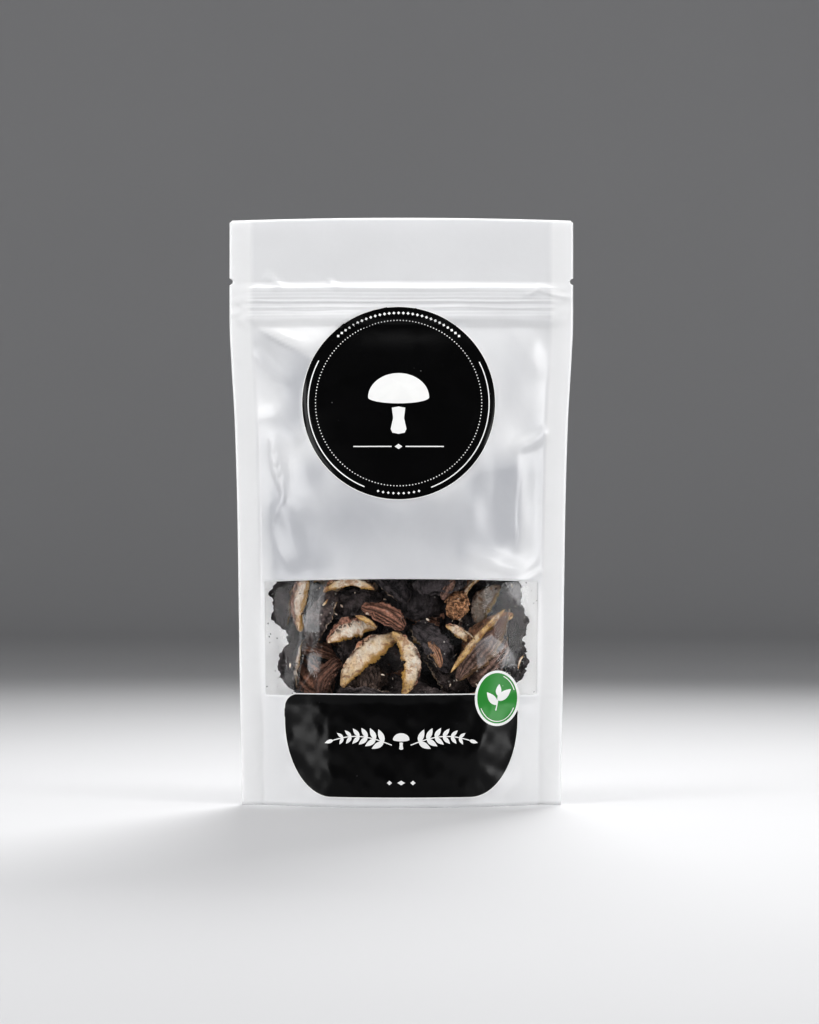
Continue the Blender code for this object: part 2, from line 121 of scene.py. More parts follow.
# Creases of the front film in the front view, in millimetres: from, to, height, and how far each side falls
# away, first the side to the left of the way from start to end
CREASES = (
    ((-54.5, 181.2), (-33.0, 170.6), 1.0, 3.4, 0.9),
    ((-47.0, 178.6), (-36.5, 174.6), 0.35, 0.8, 0.5),
    ((-56.0, 171.6), (-42.0, 158.8), 0.6, 3.2, 1.3),
    ((-49.2, 139.5), (-44.0, 116.0), 0.7, 2.8, 0.8),
    ((-44.4, 124.0), (-44.2, 111.0), 0.3, 0.7, 0.5),
    ((-44.0, 117.5), (-48.8, 103.5), 0.5, 0.9, 2.2),
    ((41.0, 133.6), (56.0, 142.2), 0.8, 1.6, 2.4),
    ((43.0, 84.2), (55.5, 90.6), 0.55, 0.9, 1.7),
    ((46.5, 88.6), (51.5, 93.5), 0.25, 0.8, 1.0),
    ((-50.0, 107.2), (-37.5, 84.6), 0.35, 2.2, 1.1),
    ((43.9, 134.0), (44.4, 96.0), 0.4, 1.6, 3.4),
    ((-49.9, 201.6), (-44.6, 195.4), 0.45, 1.0, 1.8),
    ((-46.6, 199.8), (-42.0, 195.6), 0.2, 0.6, 0.9),
    ((-27.4, 199.0), (-24.0, 195.4), 0.28, 0.7, 1.1),
    ((47.3, 192.7), (53.9, 196.2), 0.4, 0.5, 0.8),
    ((50.6, 195.0), (64.5, 191.9), 0.3, 0.6, 0.6),
    ((-63.0, 192.0), (-57.5, 186.0), 0.3, 0.8, 0.8),
    ((-62.0, 184.0), (-56.5, 179.0), 0.3, 1.1, 0.8),
    ((-40.8, 85.0), (-34.5, 60.0), 0.55, 1.6, 0.9),
    ((-33.0, 66.0), (-38.4, 42.5), 0.5, 1.0, 1.8),
    ((-28.5, 84.0), (-30.5, 62.0), 0.3, 1.3, 0.8),
    ((27.0, 66.0), (39.0, 52.0), 0.4, 1.8, 1.0),
    ((-26.0, 40.0), (-24.5, 4.0), 0.35, 1.2, 1.6),
    ((34.0, 36.0), (27.0, 10.0), 0.35, 2.0, 1.3),
)
# Soft dents and swellings: place, how far each way, and depth
DENTS = (
    ((-43.0, 143.6), (6.0, 6.5), -0.6),
    ((-32.0, 124.0), (9.0, 7.0), -0.5),
    ((35.0, 114.0), (9.0, 17.0), -0.55),
    ((-50.0, 147.0), (5.0, 3.0), 0.45),
    ((33.0, 90.5), (14.0, 6.5), 0.45),
    ((0.0, 101.0), (26.0, 9.0), -0.25),
    ((46.0, 165.0), (8.0, 17.0), 0.5),
    ((-36.0, 102.0), (11.0, 8.0), -0.35),
    ((-37.0, 176.0), (14.0, 9.0), 1.0),
)
# Heights of the lines that the zip presses into the film, with how far each stands out
ZIP_LINES = (
    (195.4, 0.22), (193.9, -0.10), (191.9, 0.10), (190.4, 0.24), (189.4, -0.18), (188.0, 0.20),
    (186.7, -0.14), (184.9, 0.12),
)
# Painted shade on the white front film, where the slices press on it from inside and beside the round label,
# lighter where below 0: place, how far each way, and how much
PAINTED_SHADE_PATCHES = (
    ((-42.9, 143.6), (5.5, 6.5), 0.75),
    ((-32.3, 125.8), (8.0, 7.0), 0.70),
    ((35.5, 115.2), (7.5, 17.0), 1.10),
    ((-39.4, 104.8), (8.0, 14.0), 0.75),
    ((-19.4, 107.6), (14.0, 11.0), 0.40),
    ((16.6, 106.5), (13.0, 11.0), 0.30),
    ((-36.0, 90.0), (9.0, 7.0), 0.50),
    ((22.5, 96.5), (3.0, 7.0), 0.30),
    ((33.5, 90.0), (12.0, 6.0), -0.45),
    ((44.5, 138.0), (9.0, 4.0), -0.40),
    ((-49.5, 106.0), (5.5, 15.0), 1.00),
    ((52.0, 128.0), (7.0, 26.0), 1.00),
    ((52.0, 98.0), (7.0, 16.0), 0.40),
    ((-53.0, 134.0), (6.0, 14.0), 0.55),
    ((0.0, 100.0), (34.0, 24.0), 0.16),
    ((-38.5, 155.0), (6.5, 12.0), 2.10),
    ((41.5, 160.0), (5.0, 14.0), 0.50),
    ((35.5, 122.0), (7.0, 12.0), 0.60),
)
# Painted light on the white front film, where it stands clear of the fill: place, how far each way, and how
# much
PAINTED_LIGHT_PATCHES = (
    ((-36.0, 179.5), (20.0, 7.0), 1.0),
    ((-50.0, 150.0), (6.0, 5.0), 0.5),
    ((54.0, 60.0), (6.0, 24.0), 0.9),
    ((-54.0, 60.0), (5.0, 26.0), 0.8),
    ((-48.0, 14.0), (14.0, 20.0), 0.5),
    ((50.0, 14.0), (14.0, 20.0), 0.9),
    ((49.5, 137.5), (5.0, 3.0), 0.7),
)
# Folds with two flat sides: from, to, height, how far each side reaches, as for the creases, and the shade
# that the fold throws on its right side
FOLDS = (
    ((-58.5, 183.4), (-24.0, 162.3), 1.3, 10.5, 7.0, 0.60),
    ((-55.5, 173.4), (-40.0, 157.0), 0.45, 2.2, 3.2, 0.15),
    ((-50.5, 152.0), (-36.5, 136.0), 0.6, 5.0, 4.0, 0.20),
    ((42.0, 135.3), (56.5, 142.8), 0.6, 3.0, 4.5, 0.15),
    ((-47.0, 117.0), (-36.0, 88.0), 0.7, 4.5, 6.0, 0.20),
    ((44.0, 140.0), (44.6, 92.0), 0.8, 6.0, 9.0, 0.20),
    ((18.0, 98.0), (50.0, 87.0), 0.6, 4.0, 5.0, 0.0),
    ((-24.0, 120.0), (6.0, 108.0), 0.5, 7.0, 8.0, 0.08),
    ((40.0, 182.0), (54.5, 160.0), 0.5, 7.0, 6.0, 0.10),
    ((-52.4, 201.5), (-45.0, 195.2), 0.5, 1.8, 3.4, 0.0),
    ((-28.5, 199.4), (-22.5, 195.2), 0.35, 1.4, 2.6, 0.0),
    ((45.5, 191.5), (54.0, 196.4), 0.4, 2.2, 1.4, 0.0),
    ((52.0, 195.0), (64.6, 191.6), 0.35, 1.4, 1.8, 0.0),
)
# Painted glare on the clear film, drawn as whitened scuffs: a four-sided patch each, in millimetres of the
# front view, and how strong
PAINTED_GLARE_PATCHES = (
    (((-33.8, 83.6), (-28.1, 83.6), (-30.8, 65.6), (-37.2, 65.6)), 0.85),
    (((-36.8, 71.8), (-36.2, 71.8), (-40.0, 48.1), (-40.6, 48.1)), 1.0),
    (((-28.6, 84.0), (-28.2, 84.0), (-35.0, 67.0), (-35.5, 67.0)), 0.9),
    (((-41.0, 70.5), (-40.5, 70.5), (-42.8, 61.0), (-43.4, 61.0)), 0.6),
    (((-35.9, 57.4), (-29.6, 57.4), (-30.8, 50.8), (-35.0, 50.8)), 0.80),
    (((-33.2, 51.8), (-32.2, 51.8), (-39.0, 42.6), (-39.8, 42.6)), 0.7),
    (((39.0, 84.6), (45.4, 84.6), (45.0, 75.6), (42.8, 76.2)), 0.75),
    (((27.4, 61.5), (34.0, 64.8), (39.5, 60.0), (28.8, 51.6)), 1.0),
    (((40.0, 60.0), (42.6, 57.0), (43.4, 53.0), (37.0, 51.2)), 0.75),
)

# The slices, as the solids have them: kind, place across and up, roll, yaw, spin, length, height, thickness
SHOWN_SLICES = (
    ("flesh", -13.3, 57.6, 40, 8, 0, 32, 8.5, 3.4),
    ("flesh", 3.7, 54.6, -81, -6, 10, 27, 6.8, 3.2),
    ("flesh", -19.4, 66.8, 17, 12, -12, 22, 8.0, 3.2),
    ("brown", -6.5, 72.4, -27, -10, 62, 19, 4.5, 7.0),
    ("flesh", 28.7, 63.6, 47, -20, 38, 32, 5.5, 9.0),
    ("flesh", 31.2, 76.6, 62, -14, 8, 19, 8.0, 3.4),
    ("flesh", 21.4, 66.0, -36, 5, 20, 11, 3.6, 3.0),
    ("brown", 21.2, 75.6, 75, 20, 30, 12, 8.0, 7.5),
    ("flesh", -38.4, 78.5, 78, -22, -10, 26, 5.5, 3.0),
    ("skin", 13.0, 60.6, -52, 6, 72, 23, 5.0, 11.0),
    ("skin", -19.0, 76.6, 6, -8, 80, 24, 4.6, 11.0),
    ("skin", 5.2, 77.2, 4, 4, 84, 30, 5.0, 15.0),
    ("skin", -31.0, 70.6, 64, -18, 75, 24, 4.6, 9.5),
    ("brown", 33.0, 54.4, 48, 16, 76, 22, 4.6, 11.0),
    ("skin", -13.0, 47.6, 8, 5, 82, 17, 5.0, 11.0),
    ("brown", 21.6, 48.2, 28, 12, 70, 23, 4.6, 10.0),
    ("brown", -34.2, 59.4, -12, -20, 40, 20, 4.6, 6.0),
    ("skin", -46.0, 74.6, 80, -34, 74, 18, 4.0, 8.0),
    ("skin", -41.0, 52.4, 82, -32, 70, 21, 4.4, 9.0),
    ("skin", 43.6, 69.6, 84, 34, 74, 18, 4.0, 8.0),
    ("skin", 43.6, 56.0, 78, 32, 76, 15, 4.0, 7.5),
    ("brown", -28.4, 48.6, 62, -12, 60, 17, 4.2, 7.0),
    ("skin", 39.0, 79.6, 12, 26, 76, 17, 4.2, 9.0),
    ("flesh", -19.8, 84.6, 3, -6, 20, 21, 4.6, 3.4),
    ("skin", -3.0, 60.0, 74, 0, 82, 22, 4.6, 14.0),
    ("flesh", 26.0, 83.4, 50, 10, 10, 13, 2.4, 2.4),
    ("skin", 14.8, 84.6, 8, 8, 80, 22, 4.6, 10.0),
    ("skin", 3.6, 44.0, -14, 0, 78, 24, 4.6, 10.0),
)
# How golden the browner slices are, by their number, or how grey where below 0
WARM_SLICES = {
    1: 0.25, 4: 0.0, 5: 0.6, 6: -0.75, 8: 1.0, 9: -0.45, 11: 0.12, 13: -0.3, 14: -0.7, 15: 0.8, 16: -0.2,
    17: 0.1, 22: 0.0, 25: 0.1, 28: 0.2,
}
# Stripes round a brown slice
BROWN_STRIPES = 15
# Slices that are crumpled all over
CRUMPLED_SLICES = (8, 15)
# The loose bits are numbered from here on
LOOSE_FROM = 300
# How strong the painted highlight on the ridges of the dimmer slices is, by number
DIM_SLICES = {16: 0.5, 17: 0.55, 22: 0.35, 28: 0.6, 305: 0.6}
# Where the dark skin starts on a cut face, from -1 at its gills to 1 at its top, by number
BARK_BANDS = {
    1: 0.94, 2: 0.92, 3: 0.42, 5: 0.70, 6: 0.90, 7: 0.95, 9: 0.45, 24: 0.9, 303: 0.95, 304: 0.97, 309: 0.97,
}
# Slices drawn shorter from their left end, to this share of their width
TRIMMED_SLICES = {23: 0.5}
# Small bits that lie on a slice: its number, kind, place across and up, how golden, bend in degrees, then
# their form as above
LOOSE_BITS = (
    (10, "brown", 12.8, 57.2, 0.45, 40, -66, 6, 0, 11.5, 3.4, 2.0),
    (7, "flesh", 25.4, 64.4, 0.2, 30, -40, 0, 0, 6.5, 0.9, 0.8),
    (9, "flesh", -29.8, 73.6, 0.0, 25, 62, -20, 0, 10.0, 1.6, 1.0),
    (10, "flesh", 28.9, 62.3, 0.8, 12, 49, -4, 0, 32.0, 2.8, 1.4),
    (14, "brown", 37.4, 66.5, 0.0, 20, 64, 20, 10, 13.0, 4.4, 1.8),
    (20, "flesh", 45.0, 53.8, 0.3, 60, 66, 34, 0, 6.0, 1.1, 0.9),
    (26, "flesh", 25.2, 81.6, 0.2, 12, 52, 0, 0, 8.5, 1.4, 1.0),
    (27, "brown", 17.5, 81.5, -0.5, 30, 58, 0, 60, 9.0, 2.0, 4.0),
    (3, "flesh", -13.2, 69.6, 0.7, 30, -28, 0, 0, 9.5, 2.2, 1.2),
    (14, "brown", 30.0, 57.0, -0.7, 16, 47, 4, 0, 27.0, 9.5, 2.4),
)
# The pile's two sides in the front view: height and place across, in millimetres, from the top down
PILE_LEFT = (
    (90, -47), (83.4, -48.2), (79.2, -50.1), (75.4, -47.8), (70.1, -49), (65.6, -43.3), (60.3, -42.9),
    (54.2, -44), (48.1, -41.8), (42.8, -40.3), (36, -38),
)
PILE_RIGHT = (
    (90, 44), (83, 45), (75.4, 45.4), (72.4, 46.9), (66.3, 45.8), (62.5, 43.1), (61.8, 46.5), (58, 47.3),
    (53.4, 45.8), (49.6, 43.1), (43, 42), (36, 40),
)
# How the solids draw the rest of the pile: slices, first seed, and places across as far as the reach
FILL_COUNT = 23
FILL_SEED = 41
FILL_REACH = 46.0
FILL_ACROSS = 24
CAD_SLICE_SIDES = 8
CAD_SLICE_RINGS = 10
# How far the fill stays from the film
FILL_CLEAR = 0.8 * MM


# Small helpers

def smooth(value, low, high):
    """0 below low, 1 above high, and a smooth step between them, on arrays."""
    t = np.clip((np.asarray(value, float) - low) / (high - low), 0.0, 1.0)
    return t * t * (3 - 2 * t)


def bell(x, z, centre, reach):
    """1 at a place of the front view, falling off to 0 round it over its reach each way."""
    return np.exp(-(((x - centre[0]) / reach[0]) ** 2) - ((z - centre[1]) / reach[1]) ** 2)


def new_piece(name, mesh, material):
    """An object of the pouch for a mesh, riding on its one body and finish."""
    piece = bpy.data.objects.new(name, mesh)
    bpy.context.scene.collection.objects.link(piece)
    piece.data.materials.clear()
    piece.data.materials.append(material)
    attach(piece, "root")
    return piece


def mesh_of(name, points, faces):
    """A smooth mesh from arrays of points and faces."""
    mesh = bpy.data.meshes.new(name)
    mesh.from_pydata(np.asarray(points).tolist(), [], [tuple(int(i) for i in face) for face in faces])
    mesh.validate()
    mesh.shade_smooth()
    return mesh


def closed_shell(name, top, bottom, faces):
    """A closed mesh of two like sheets of points, with walls along the open edges of their faces."""
    count = len(top)
    edges = {}
    for face in faces:
        for a, b in zip(face, face[1:] + face[:1]):
            edges[(a, b)] = edges.get((a, b), 0) + 1
    walls = [(b, a, a + count, b + count) for a, b in edges if (b, a) not in edges]
    under = [tuple(i + count for i in face[::-1]) for face in faces]
    return mesh_of(name, np.concatenate((top, bottom)), faces + walls + under)


def change_mesh(mesh, change):
    """Runs a change on a mesh, given to it as a bmesh."""
    shape = bmesh.new()
    shape.from_mesh(mesh)
    change(shape)
    shape.to_mesh(mesh)
    shape.free()


def face_outwards(shape):
    bmesh.ops.recalc_face_normals(shape, faces=shape.faces)


def point_array(mesh):
    """The places of a mesh's points."""
    flat = np.empty(len(mesh.vertices) * 3, np.float32)
    mesh.vertices.foreach_get("co", flat)
    return flat.reshape(-1, 3).astype(float)


def add_attribute(mesh, name, values):
    """A number for each point of a mesh, for its material to read."""
    numbers = mesh.attributes.new(name, "FLOAT", "POINT").data
    numbers.foreach_set("value", np.asarray(values, np.float32).ravel())


def grid_faces(rows, columns, keep=None, wrap=False):
    """The quads of a grid of points stored row by row, facing the front where x runs across and z up."""
    faces = []
    for row in range(rows - 1):
        for column in range(columns if wrap else columns - 1):
            if keep is None or keep(row, column):
                after = (column + 1) % columns
                faces.append((
                    row * columns + column, row * columns + after,
                    (row + 1) * columns + after, (row + 1) * columns + column,
                ))
    return faces


def set_inputs(tree, node, inputs):
    """Gives a node's inputs their values, or links them to the given sockets."""
    for name, value in inputs.items():
        if isinstance(value, bpy.types.NodeSocket):
            tree.links.new(value, node.inputs[name])
        else:
            node.inputs[name].default_value = value
    return node


def add_node(tree, kind, inputs=None, **settings):
    """A node with its settings and its inputs."""
    node = tree.nodes.new(kind)
    for name, value in settings.items():
        setattr(node, name, value)
    return set_inputs(tree, node, inputs or {})


def maths(tree, operation, first, second):
    """The result socket of a maths node."""
    return add_node(tree, "ShaderNodeMath", {0: first, 1: second}, operation=operation).outputs[0]


def scaled(tree, value, factor):
    return maths(tree, "MULTIPLY", value, factor)


def added(tree, first, second):
    return maths(tree, "ADD", first, second)


def rgba(colour, share=1.0):
    """A colour for a node, darkened to a share of itself."""
    return tuple(share * c for c in colour) + (1.0,)


def blend_colour(tree, factor, first, second):
    """The result socket of a mix of two colours, each a socket or red, green, blue and alpha."""
    node = add_node(tree, "ShaderNodeMix", data_type="RGBA")
    return set_inputs(tree, node, {0: factor, 6: first, 7: second}).outputs[2]


def step_between(tree, value, low, high):
    """A smooth step of a value, from 0 at low to 1 at high."""
    inputs = {"Value": value, "From Min": low, "From Max": high}
    return add_node(tree, "ShaderNodeMapRange", inputs, interpolation_type="SMOOTHSTEP").outputs[0]


def attribute(tree, name):
    return add_node(tree, "ShaderNodeAttribute", attribute_name=name).outputs["Fac"]


def new_material(name, **values):
    """A material with its Principled shader's own values set, its tree, shader and object coordinates."""
    material = bpy.data.materials.new(name)
    material.use_nodes = True
    tree = material.node_tree
    shader = tree.nodes["Principled BSDF"]
    for socket, value in values.items():
        shader.inputs[socket.replace("_", " ")].default_value = value
    place = add_node(tree, "ShaderNodeTexCoord").outputs["Object"]
    return material, tree, shader, place


def group_sockets(tree, inputs, outputs):
    """Gives a node group its named inputs and outputs, and returns its two end nodes."""
    for name, kind, value in inputs:
        socket = tree.interface.new_socket(name=name, in_out="INPUT", socket_type=kind)
        if value is not None:
            socket.default_value = value
    for name, kind in outputs:
        tree.interface.new_socket(name=name, in_out="OUTPUT", socket_type=kind)
    return tree.nodes.new("NodeGroupInput"), tree.nodes.new("NodeGroupOutput")


def shared_group(name, inputs, outputs, fill):
    """A shader node group, built the first time that it is asked for."""
    tree = bpy.data.node_groups.get(name)
    if tree is None:
        tree = bpy.data.node_groups.new(name, "ShaderNodeTree")
        start, end = group_sockets(tree, inputs, outputs)
        fill(tree, start, end)
    return tree


def use_group(tree, group, inputs):
    node = tree.nodes.new("ShaderNodeGroup")
    node.node_tree = group
    return set_inputs(tree, node, inputs)


# The film's form

def swell_angle(height):
    """The angle at which a panel leaves its side seal, at each height."""
    places, values = SWELL[:, 0], SWELL[:, 1]
    steps = np.diff(values) / np.diff(places)
    slopes = np.concatenate(([steps[0]], np.zeros(len(places) - 2), [steps[-1]]))
    for i in range(1, len(places) - 1):
        if steps[i - 1] * steps[i] > 0:
            slopes[i] = 2 * steps[i - 1] * steps[i] / (steps[i - 1] + steps[i])
    at = np.clip(height, places[0], places[-1])
    i = np.clip(np.searchsorted(places, at, side="right") - 1, 0, len(places) - 2)
    width = places[i + 1] - places[i]
    t = (at - places[i]) / width
    return (
        values[i] * (2 * t**3 - 3 * t**2 + 1) + slopes[i] * width * (t**3 - 2 * t**2 + t)
        + values[i + 1] * (3 * t**2 - 2 * t**3) + slopes[i + 1] * width * (t**3 - t**2)
    )


def zip_bulge(height):
    """How far the zip pushes the film out at each height, in metres."""
    half = ZIP_BAND / 2
    up = smooth(height, ZIP_HEIGHT - half - ZIP_RAMP, ZIP_HEIGHT - half)
    down = 1 - smooth(height, ZIP_HEIGHT + half, ZIP_HEIGHT + half + ZIP_RAMP)
    return ZIP_ROOM * up * down


def film_base(across, height, side):
    """Points of the solids' outer film, from their place on the flat film."""
    across, height = np.broadcast_arrays(np.asarray(across, float), np.asarray(height, float))
    angle = swell_angle(height)
    radius = HALF_BODY / angle
    inside = np.clip(across, -HALF_BODY, HALF_BODY)
    turn = angle * inside / HALF_BODY
    x = radius * np.sin(turn) + across - inside
    depth = radius * (np.cos(turn) - np.cos(angle))
    depth = depth + zip_bulge(height) * (1 - smooth(np.abs(across), ZIP_FADE, HALF_BODY))
    z = height - TOP_CROWN * (across / HALF_WIDTH) ** 2 * (height / PANEL_HEIGHT) ** 4
    return np.stack((x, side * (FACE_GAP + CAD_FILM + depth), z), -1)


def film_place(across, height, side, out):
    """Points that stand off the outer film by out, square to it."""
    reach = 0.2 * MM
    over = film_base(across + reach, height, side) - film_base(across - reach, height, side)
    up = film_base(across, height + reach, side) - film_base(across, height - reach, side)
    away = np.cross(over, up) * -side
    away /= np.linalg.norm(away, axis=-1, keepdims=True)
    return film_base(across, height, side) + away * np.asarray(out)[..., None]


def front_to_film(x, z):
    """The place on the flat film of a place in the front view."""
    across, height = np.array(x, float), np.array(z, float)
    for _ in range(3):
        angle = swell_angle(height)
        edge = HALF_BODY / angle * np.sin(angle)
        inside = np.clip(x, -edge, edge)
        across = np.arcsin(inside * angle / HALF_BODY) / angle * HALF_BODY + x - inside
        height = z + TOP_CROWN * (across / HALF_WIDTH) ** 2 * (height / PANEL_HEIGHT) ** 4
    return across, height


def inner_depth(x, height):
    """How far the solids' inner faces stand off the middle plane, at a place in the front view."""
    angle = swell_angle(height)
    radius = HALF_BODY / angle
    inside = np.minimum(np.abs(x), radius * np.sin(angle))
    return FACE_GAP + np.sqrt(radius**2 - inside**2) - radius * np.cos(angle)


def beside_line(x, z, start, end):
    """How far along a line points are, from 0 to 1, how far to its left, and its length, in millimetres."""
    start, end = np.array(start), np.array(end)
    way = end - start
    length = np.hypot(*way)
    way /= length
    along = np.clip(((x - start[0]) * way[0] + (z - start[1]) * way[1]) / length, 0, 1)
    return along, (z - start[1]) * way[0] - (x - start[0]) * way[1], length


def crease(x, z, start, end, height, left, right):
    """A round ridge from start to end, with its own fall to each side, all in millimetres."""
    along, off, length = beside_line(x, z, start, end)
    fall = np.where(off > 0, left, right)
    off = off + 0.05 * length * np.sin(along * math.pi)
    fade = np.sin(along * math.pi) ** 0.7
    return height * fade * np.exp(-((off / fall) ** 2))


def fold(x, z, start, end, height, left, right, shade):
    """A ridge with two flat sides, and the shade on its right side, all in millimetres."""
    along, off, _ = beside_line(x, z, start, end)
    fade = smooth(along, 0, 0.25) * (1 - smooth(along, 0.75, 1))
    rise = height * fade * (1 - np.sqrt((off / np.where(off > 0, left, right)) ** 2 + 0.016)).clip(0)
    return rise, shade * fade * smooth(-off, -0.9, 0.9) * np.clip(1 + off / (2.4 * right), 0, 1)


def zip_shoulder(across, height):
    """How far the film stands out beside the zip's ends, where it eases down over its side seals, in mm."""
    short = smooth(np.abs(across), ZIP_FADE, HALF_BODY)
    return zip_bulge(height) / MM * (short - smooth(np.abs(across), ZIP_FADE, HALF_WIDTH - 1 * MM))


def waves(x, z, size, seed):
    """A smooth uneven height of about -1 to 1, with swells of about the given size, in millimetres."""
    draw = random.Random(seed)
    total = np.zeros_like(x)
    for _ in range(7):
        turn = draw.uniform(0, math.pi)
        pitch = size * draw.uniform(0.7, 1.8)
        phase = draw.uniform(0, 2 * math.pi)
        total += np.sin((x * math.cos(turn) + z * math.sin(turn)) / pitch * 2 * math.pi + phase)
    return total / 3.2


def label_cover(x, z):
    """Where the round label and the lower label hold the front film flat: 1 under each, 0 elsewhere."""
    cx, cz = ROUND_CENTRE / MM
    radius, half, top = ROUND_RADIUS / MM, LOWER_HALF_WIDTH / MM, LOWER_TOP / MM
    disc = 1 - smooth(np.hypot(x - cx, z - cz), radius - 1.5, radius + 0.9)
    block = (1 - smooth(np.abs(x), half - 1, half + 1.5)) * (1 - smooth(z, top - 1, top + 1.5))
    return disc, block


def foot_mark(across, z, inner, outer):
    """1 inside the round mark at each side of the foot, falling to 0 from the inner to the outer radius."""
    return 1 - smooth(np.hypot((HALF_WIDTH - np.abs(across)) / MM, z - FOOT_MARK), inner, outer)


def zip_reach(across):
    """1 along the zip, falling to 0 over the side seals."""
    return 1 - smooth(np.abs(across), HALF_BODY - 0.5 * MM, HALF_BODY + 3 * MM)


def body_cover(across, height):
    """1 in the swelling body of the film, 0 at its seals and in its header."""
    return smooth(HALF_BODY - np.abs(across), 0, 9 * MM) * (1 - smooth(height, 180 * MM, 200 * MM))


def front_relief(across, height, depth):
    """How far the front film's creases stand out, in metres."""
    base = film_base(across, height, -1)
    x, z = base[..., 0] / MM, base[..., 2] / MM
    body = body_cover(across, height)
    relief = body * (0.62 * waves(x, z, 40, 11) + 0.20 * waves(x, z, 17, 12))
    relief += 0.06 * waves(x, z, 24, 13) * smooth(z, 186, 200)
    for form in CREASES:
        relief += crease(x, z, *form)
    for form in FOLDS:
        relief += fold(x, z, *form)[0]
    for centre, reach, deep in DENTS:
        relief += deep * bell(x, z, centre, reach)
    disc, block = label_cover(x, z)
    relief *= (1 - 0.9 * disc) * (1 - 0.55 * block)
    relief += block * (0.09 * waves(x, z, 11, 61) + 0.04 * waves(x, z, 5, 62))
    relief += zip_shoulder(across, height)
    window = smooth(z, 38, 43) * (1 - smooth(z, 84, 90)) * smooth(HALF_BODY / MM - np.abs(x), 2, 8)
    relief += window * (0.25 + np.maximum(-relief, 0) * 0.85)
    for line, high in ZIP_LINES:
        wander = 0.16 * waves(x, z * 0 + line, 30, int(line * 10))
        relief += high * zip_reach(across) * np.exp(-(((z - line - wander) / 0.33) ** 2)) * (1 - 0.9 * disc)
    crushed = smooth(np.abs(across), HALF_BODY - 1 * MM, HALF_BODY + 1 * MM) * np.exp(-(((z - 189) / 7) ** 2))
    relief += 0.16 * crushed * waves(x, z, 4.5, 17)
    relief -= 0.06 * smooth(np.abs(across), HALF_BODY - 0.6 * MM, HALF_BODY + 1.4 * MM)
    relief -= 0.16 * foot_mark(across, z, 6.1, 7.0)
    gusset_line = np.exp(-(((z - GUSSET_LINE) / 0.5) ** 2))
    relief += 0.14 * gusset_line * smooth(np.abs(x), 44.5, 46.5) * (1 - block)
    edge = WINDOW_TOP / MM + WINDOW_BOW / MM * (1 - (x / 51) ** 2)
    relief += 0.12 * np.exp(-(((z - edge - 0.3) / 0.3) ** 2)) * smooth(HALF_BODY / MM - np.abs(x), 2, 6)
    return relief * depth * MM


def back_relief(across, height, depth):
    """How far the back film's creases stand out, in metres."""
    base = film_base(across, height, 1)
    x, z = base[..., 0] / MM, base[..., 2] / MM
    relief = body_cover(across, height) * (0.45 * waves(x, z, 38, 21) + 0.12 * waves(x, z, 15, 22))
    relief += zip_shoulder(across, height)
    for start, end, high, left, right in CREASES[2:11]:
        relief += crease(-x, z - 6, start, end, high, left, right) * 0.8
    for across_at, lean in ((-30, 0.4), (6, -0.3), (34, 0.5)):
        relief += crease(x, z, (across_at, 172), (across_at + 22 * lean, 128), 0.35, 2.6, 1.2)
    for line, high in ZIP_LINES:
        relief += high * zip_reach(across) * np.exp(-(((z - line) / 0.36) ** 2))
    relief -= 0.10 * smooth(np.abs(across), HALF_BODY + 0.1 * MM, HALF_BODY + 0.7 * MM)
    relief -= 0.12 * foot_mark(across, z, 6.0, 7.0)
    relief += 0.14 * np.exp(-(((z - GUSSET_LINE) / 0.5) ** 2))
    return relief * depth * MM


def on_front(x, z, out):
    """Points over the creased front film at places in the front view."""
    x, z = np.asarray(x, float), np.asarray(z, float)
    depth = bpy.context.scene.pouch_sizes.crease_depth
    aim_x, aim_z = x, z
    for _ in range(3):
        across, height = front_to_film(aim_x, aim_z)
        points = film_place(across, height, -1, front_relief(across, height, depth) + out)
        aim_x, aim_z = aim_x + x - points[..., 0], aim_z + z - points[..., 2]
    return points


# Finishes

def noise_value(tree, place, scale, detail, roughness=0.5, distortion=0.0):
    """The result socket of a noise texture."""
    inputs = {
        "Vector": place, "Scale": scale, "Detail": detail, "Roughness": roughness, "Distortion": distortion,
    }
    return add_node(tree, "ShaderNodeTexNoise", inputs).outputs[0]


def fill_crinkle(tree, start, end):
    """Fine uneven pull of a laminate film: a height and a tone."""
    place, scale, grain = (start.outputs[name] for name in ("Place", "Scale", "Grain"))
    coarse = noise_value(tree, place, scale, 3.0, 0.5, 0.6)
    fine = noise_value(tree, place, scaled(tree, scale, 7.0), 2.0, 0.6)
    tree.links.new(added(tree, coarse, scaled(tree, fine, grain)), end.inputs["Height"])
    tree.links.new(step_between(tree, coarse, 0.35, 0.65), end.inputs["Tone"])


def crinkle(tree, place, scale, grain):
    group = shared_group(
        "film_crinkle",
        (("Place", "NodeSocketVector", None), ("Scale", "NodeSocketFloat", 60.0),
         ("Grain", "NodeSocketFloat", 0.2)),
        (("Height", "NodeSocketFloat"), ("Tone", "NodeSocketFloat")),
        fill_crinkle,
    )
    return use_group(tree, group, {"Place": place, "Scale": scale, "Grain": grain})


def fill_specks(tree, start, end):
    """Scattered dust specks: a mask."""
    cells = add_node(tree, "ShaderNodeTexVoronoi", {
        "Vector": start.outputs["Place"], "Scale": start.outputs["Scale"], "Randomness": 1.0,
    })
    near = maths(tree, "LESS_THAN", cells.outputs["Distance"], start.outputs["Size"])
    pick = add_node(tree, "ShaderNodeSeparateColor", {"Color": cells.outputs["Color"]})
    few = maths(tree, "LESS_THAN", pick.outputs[0], start.outputs["Share"])
    tree.links.new(scaled(tree, scaled(tree, near, few), pick.outputs[1]), end.inputs["Mask"])


def specks(tree, place, scale, size, share):
    group = shared_group(
        "dust_specks",
        (("Place", "NodeSocketVector", None), ("Scale", "NodeSocketFloat", 300.0),
         ("Size", "NodeSocketFloat", 0.1), ("Share", "NodeSocketFloat", 0.2)),
        (("Mask", "NodeSocketFloat"),),
        fill_specks,
    )
    return use_group(tree, group, {"Place": place, "Scale": scale, "Size": size, "Share": share}).outputs[0]


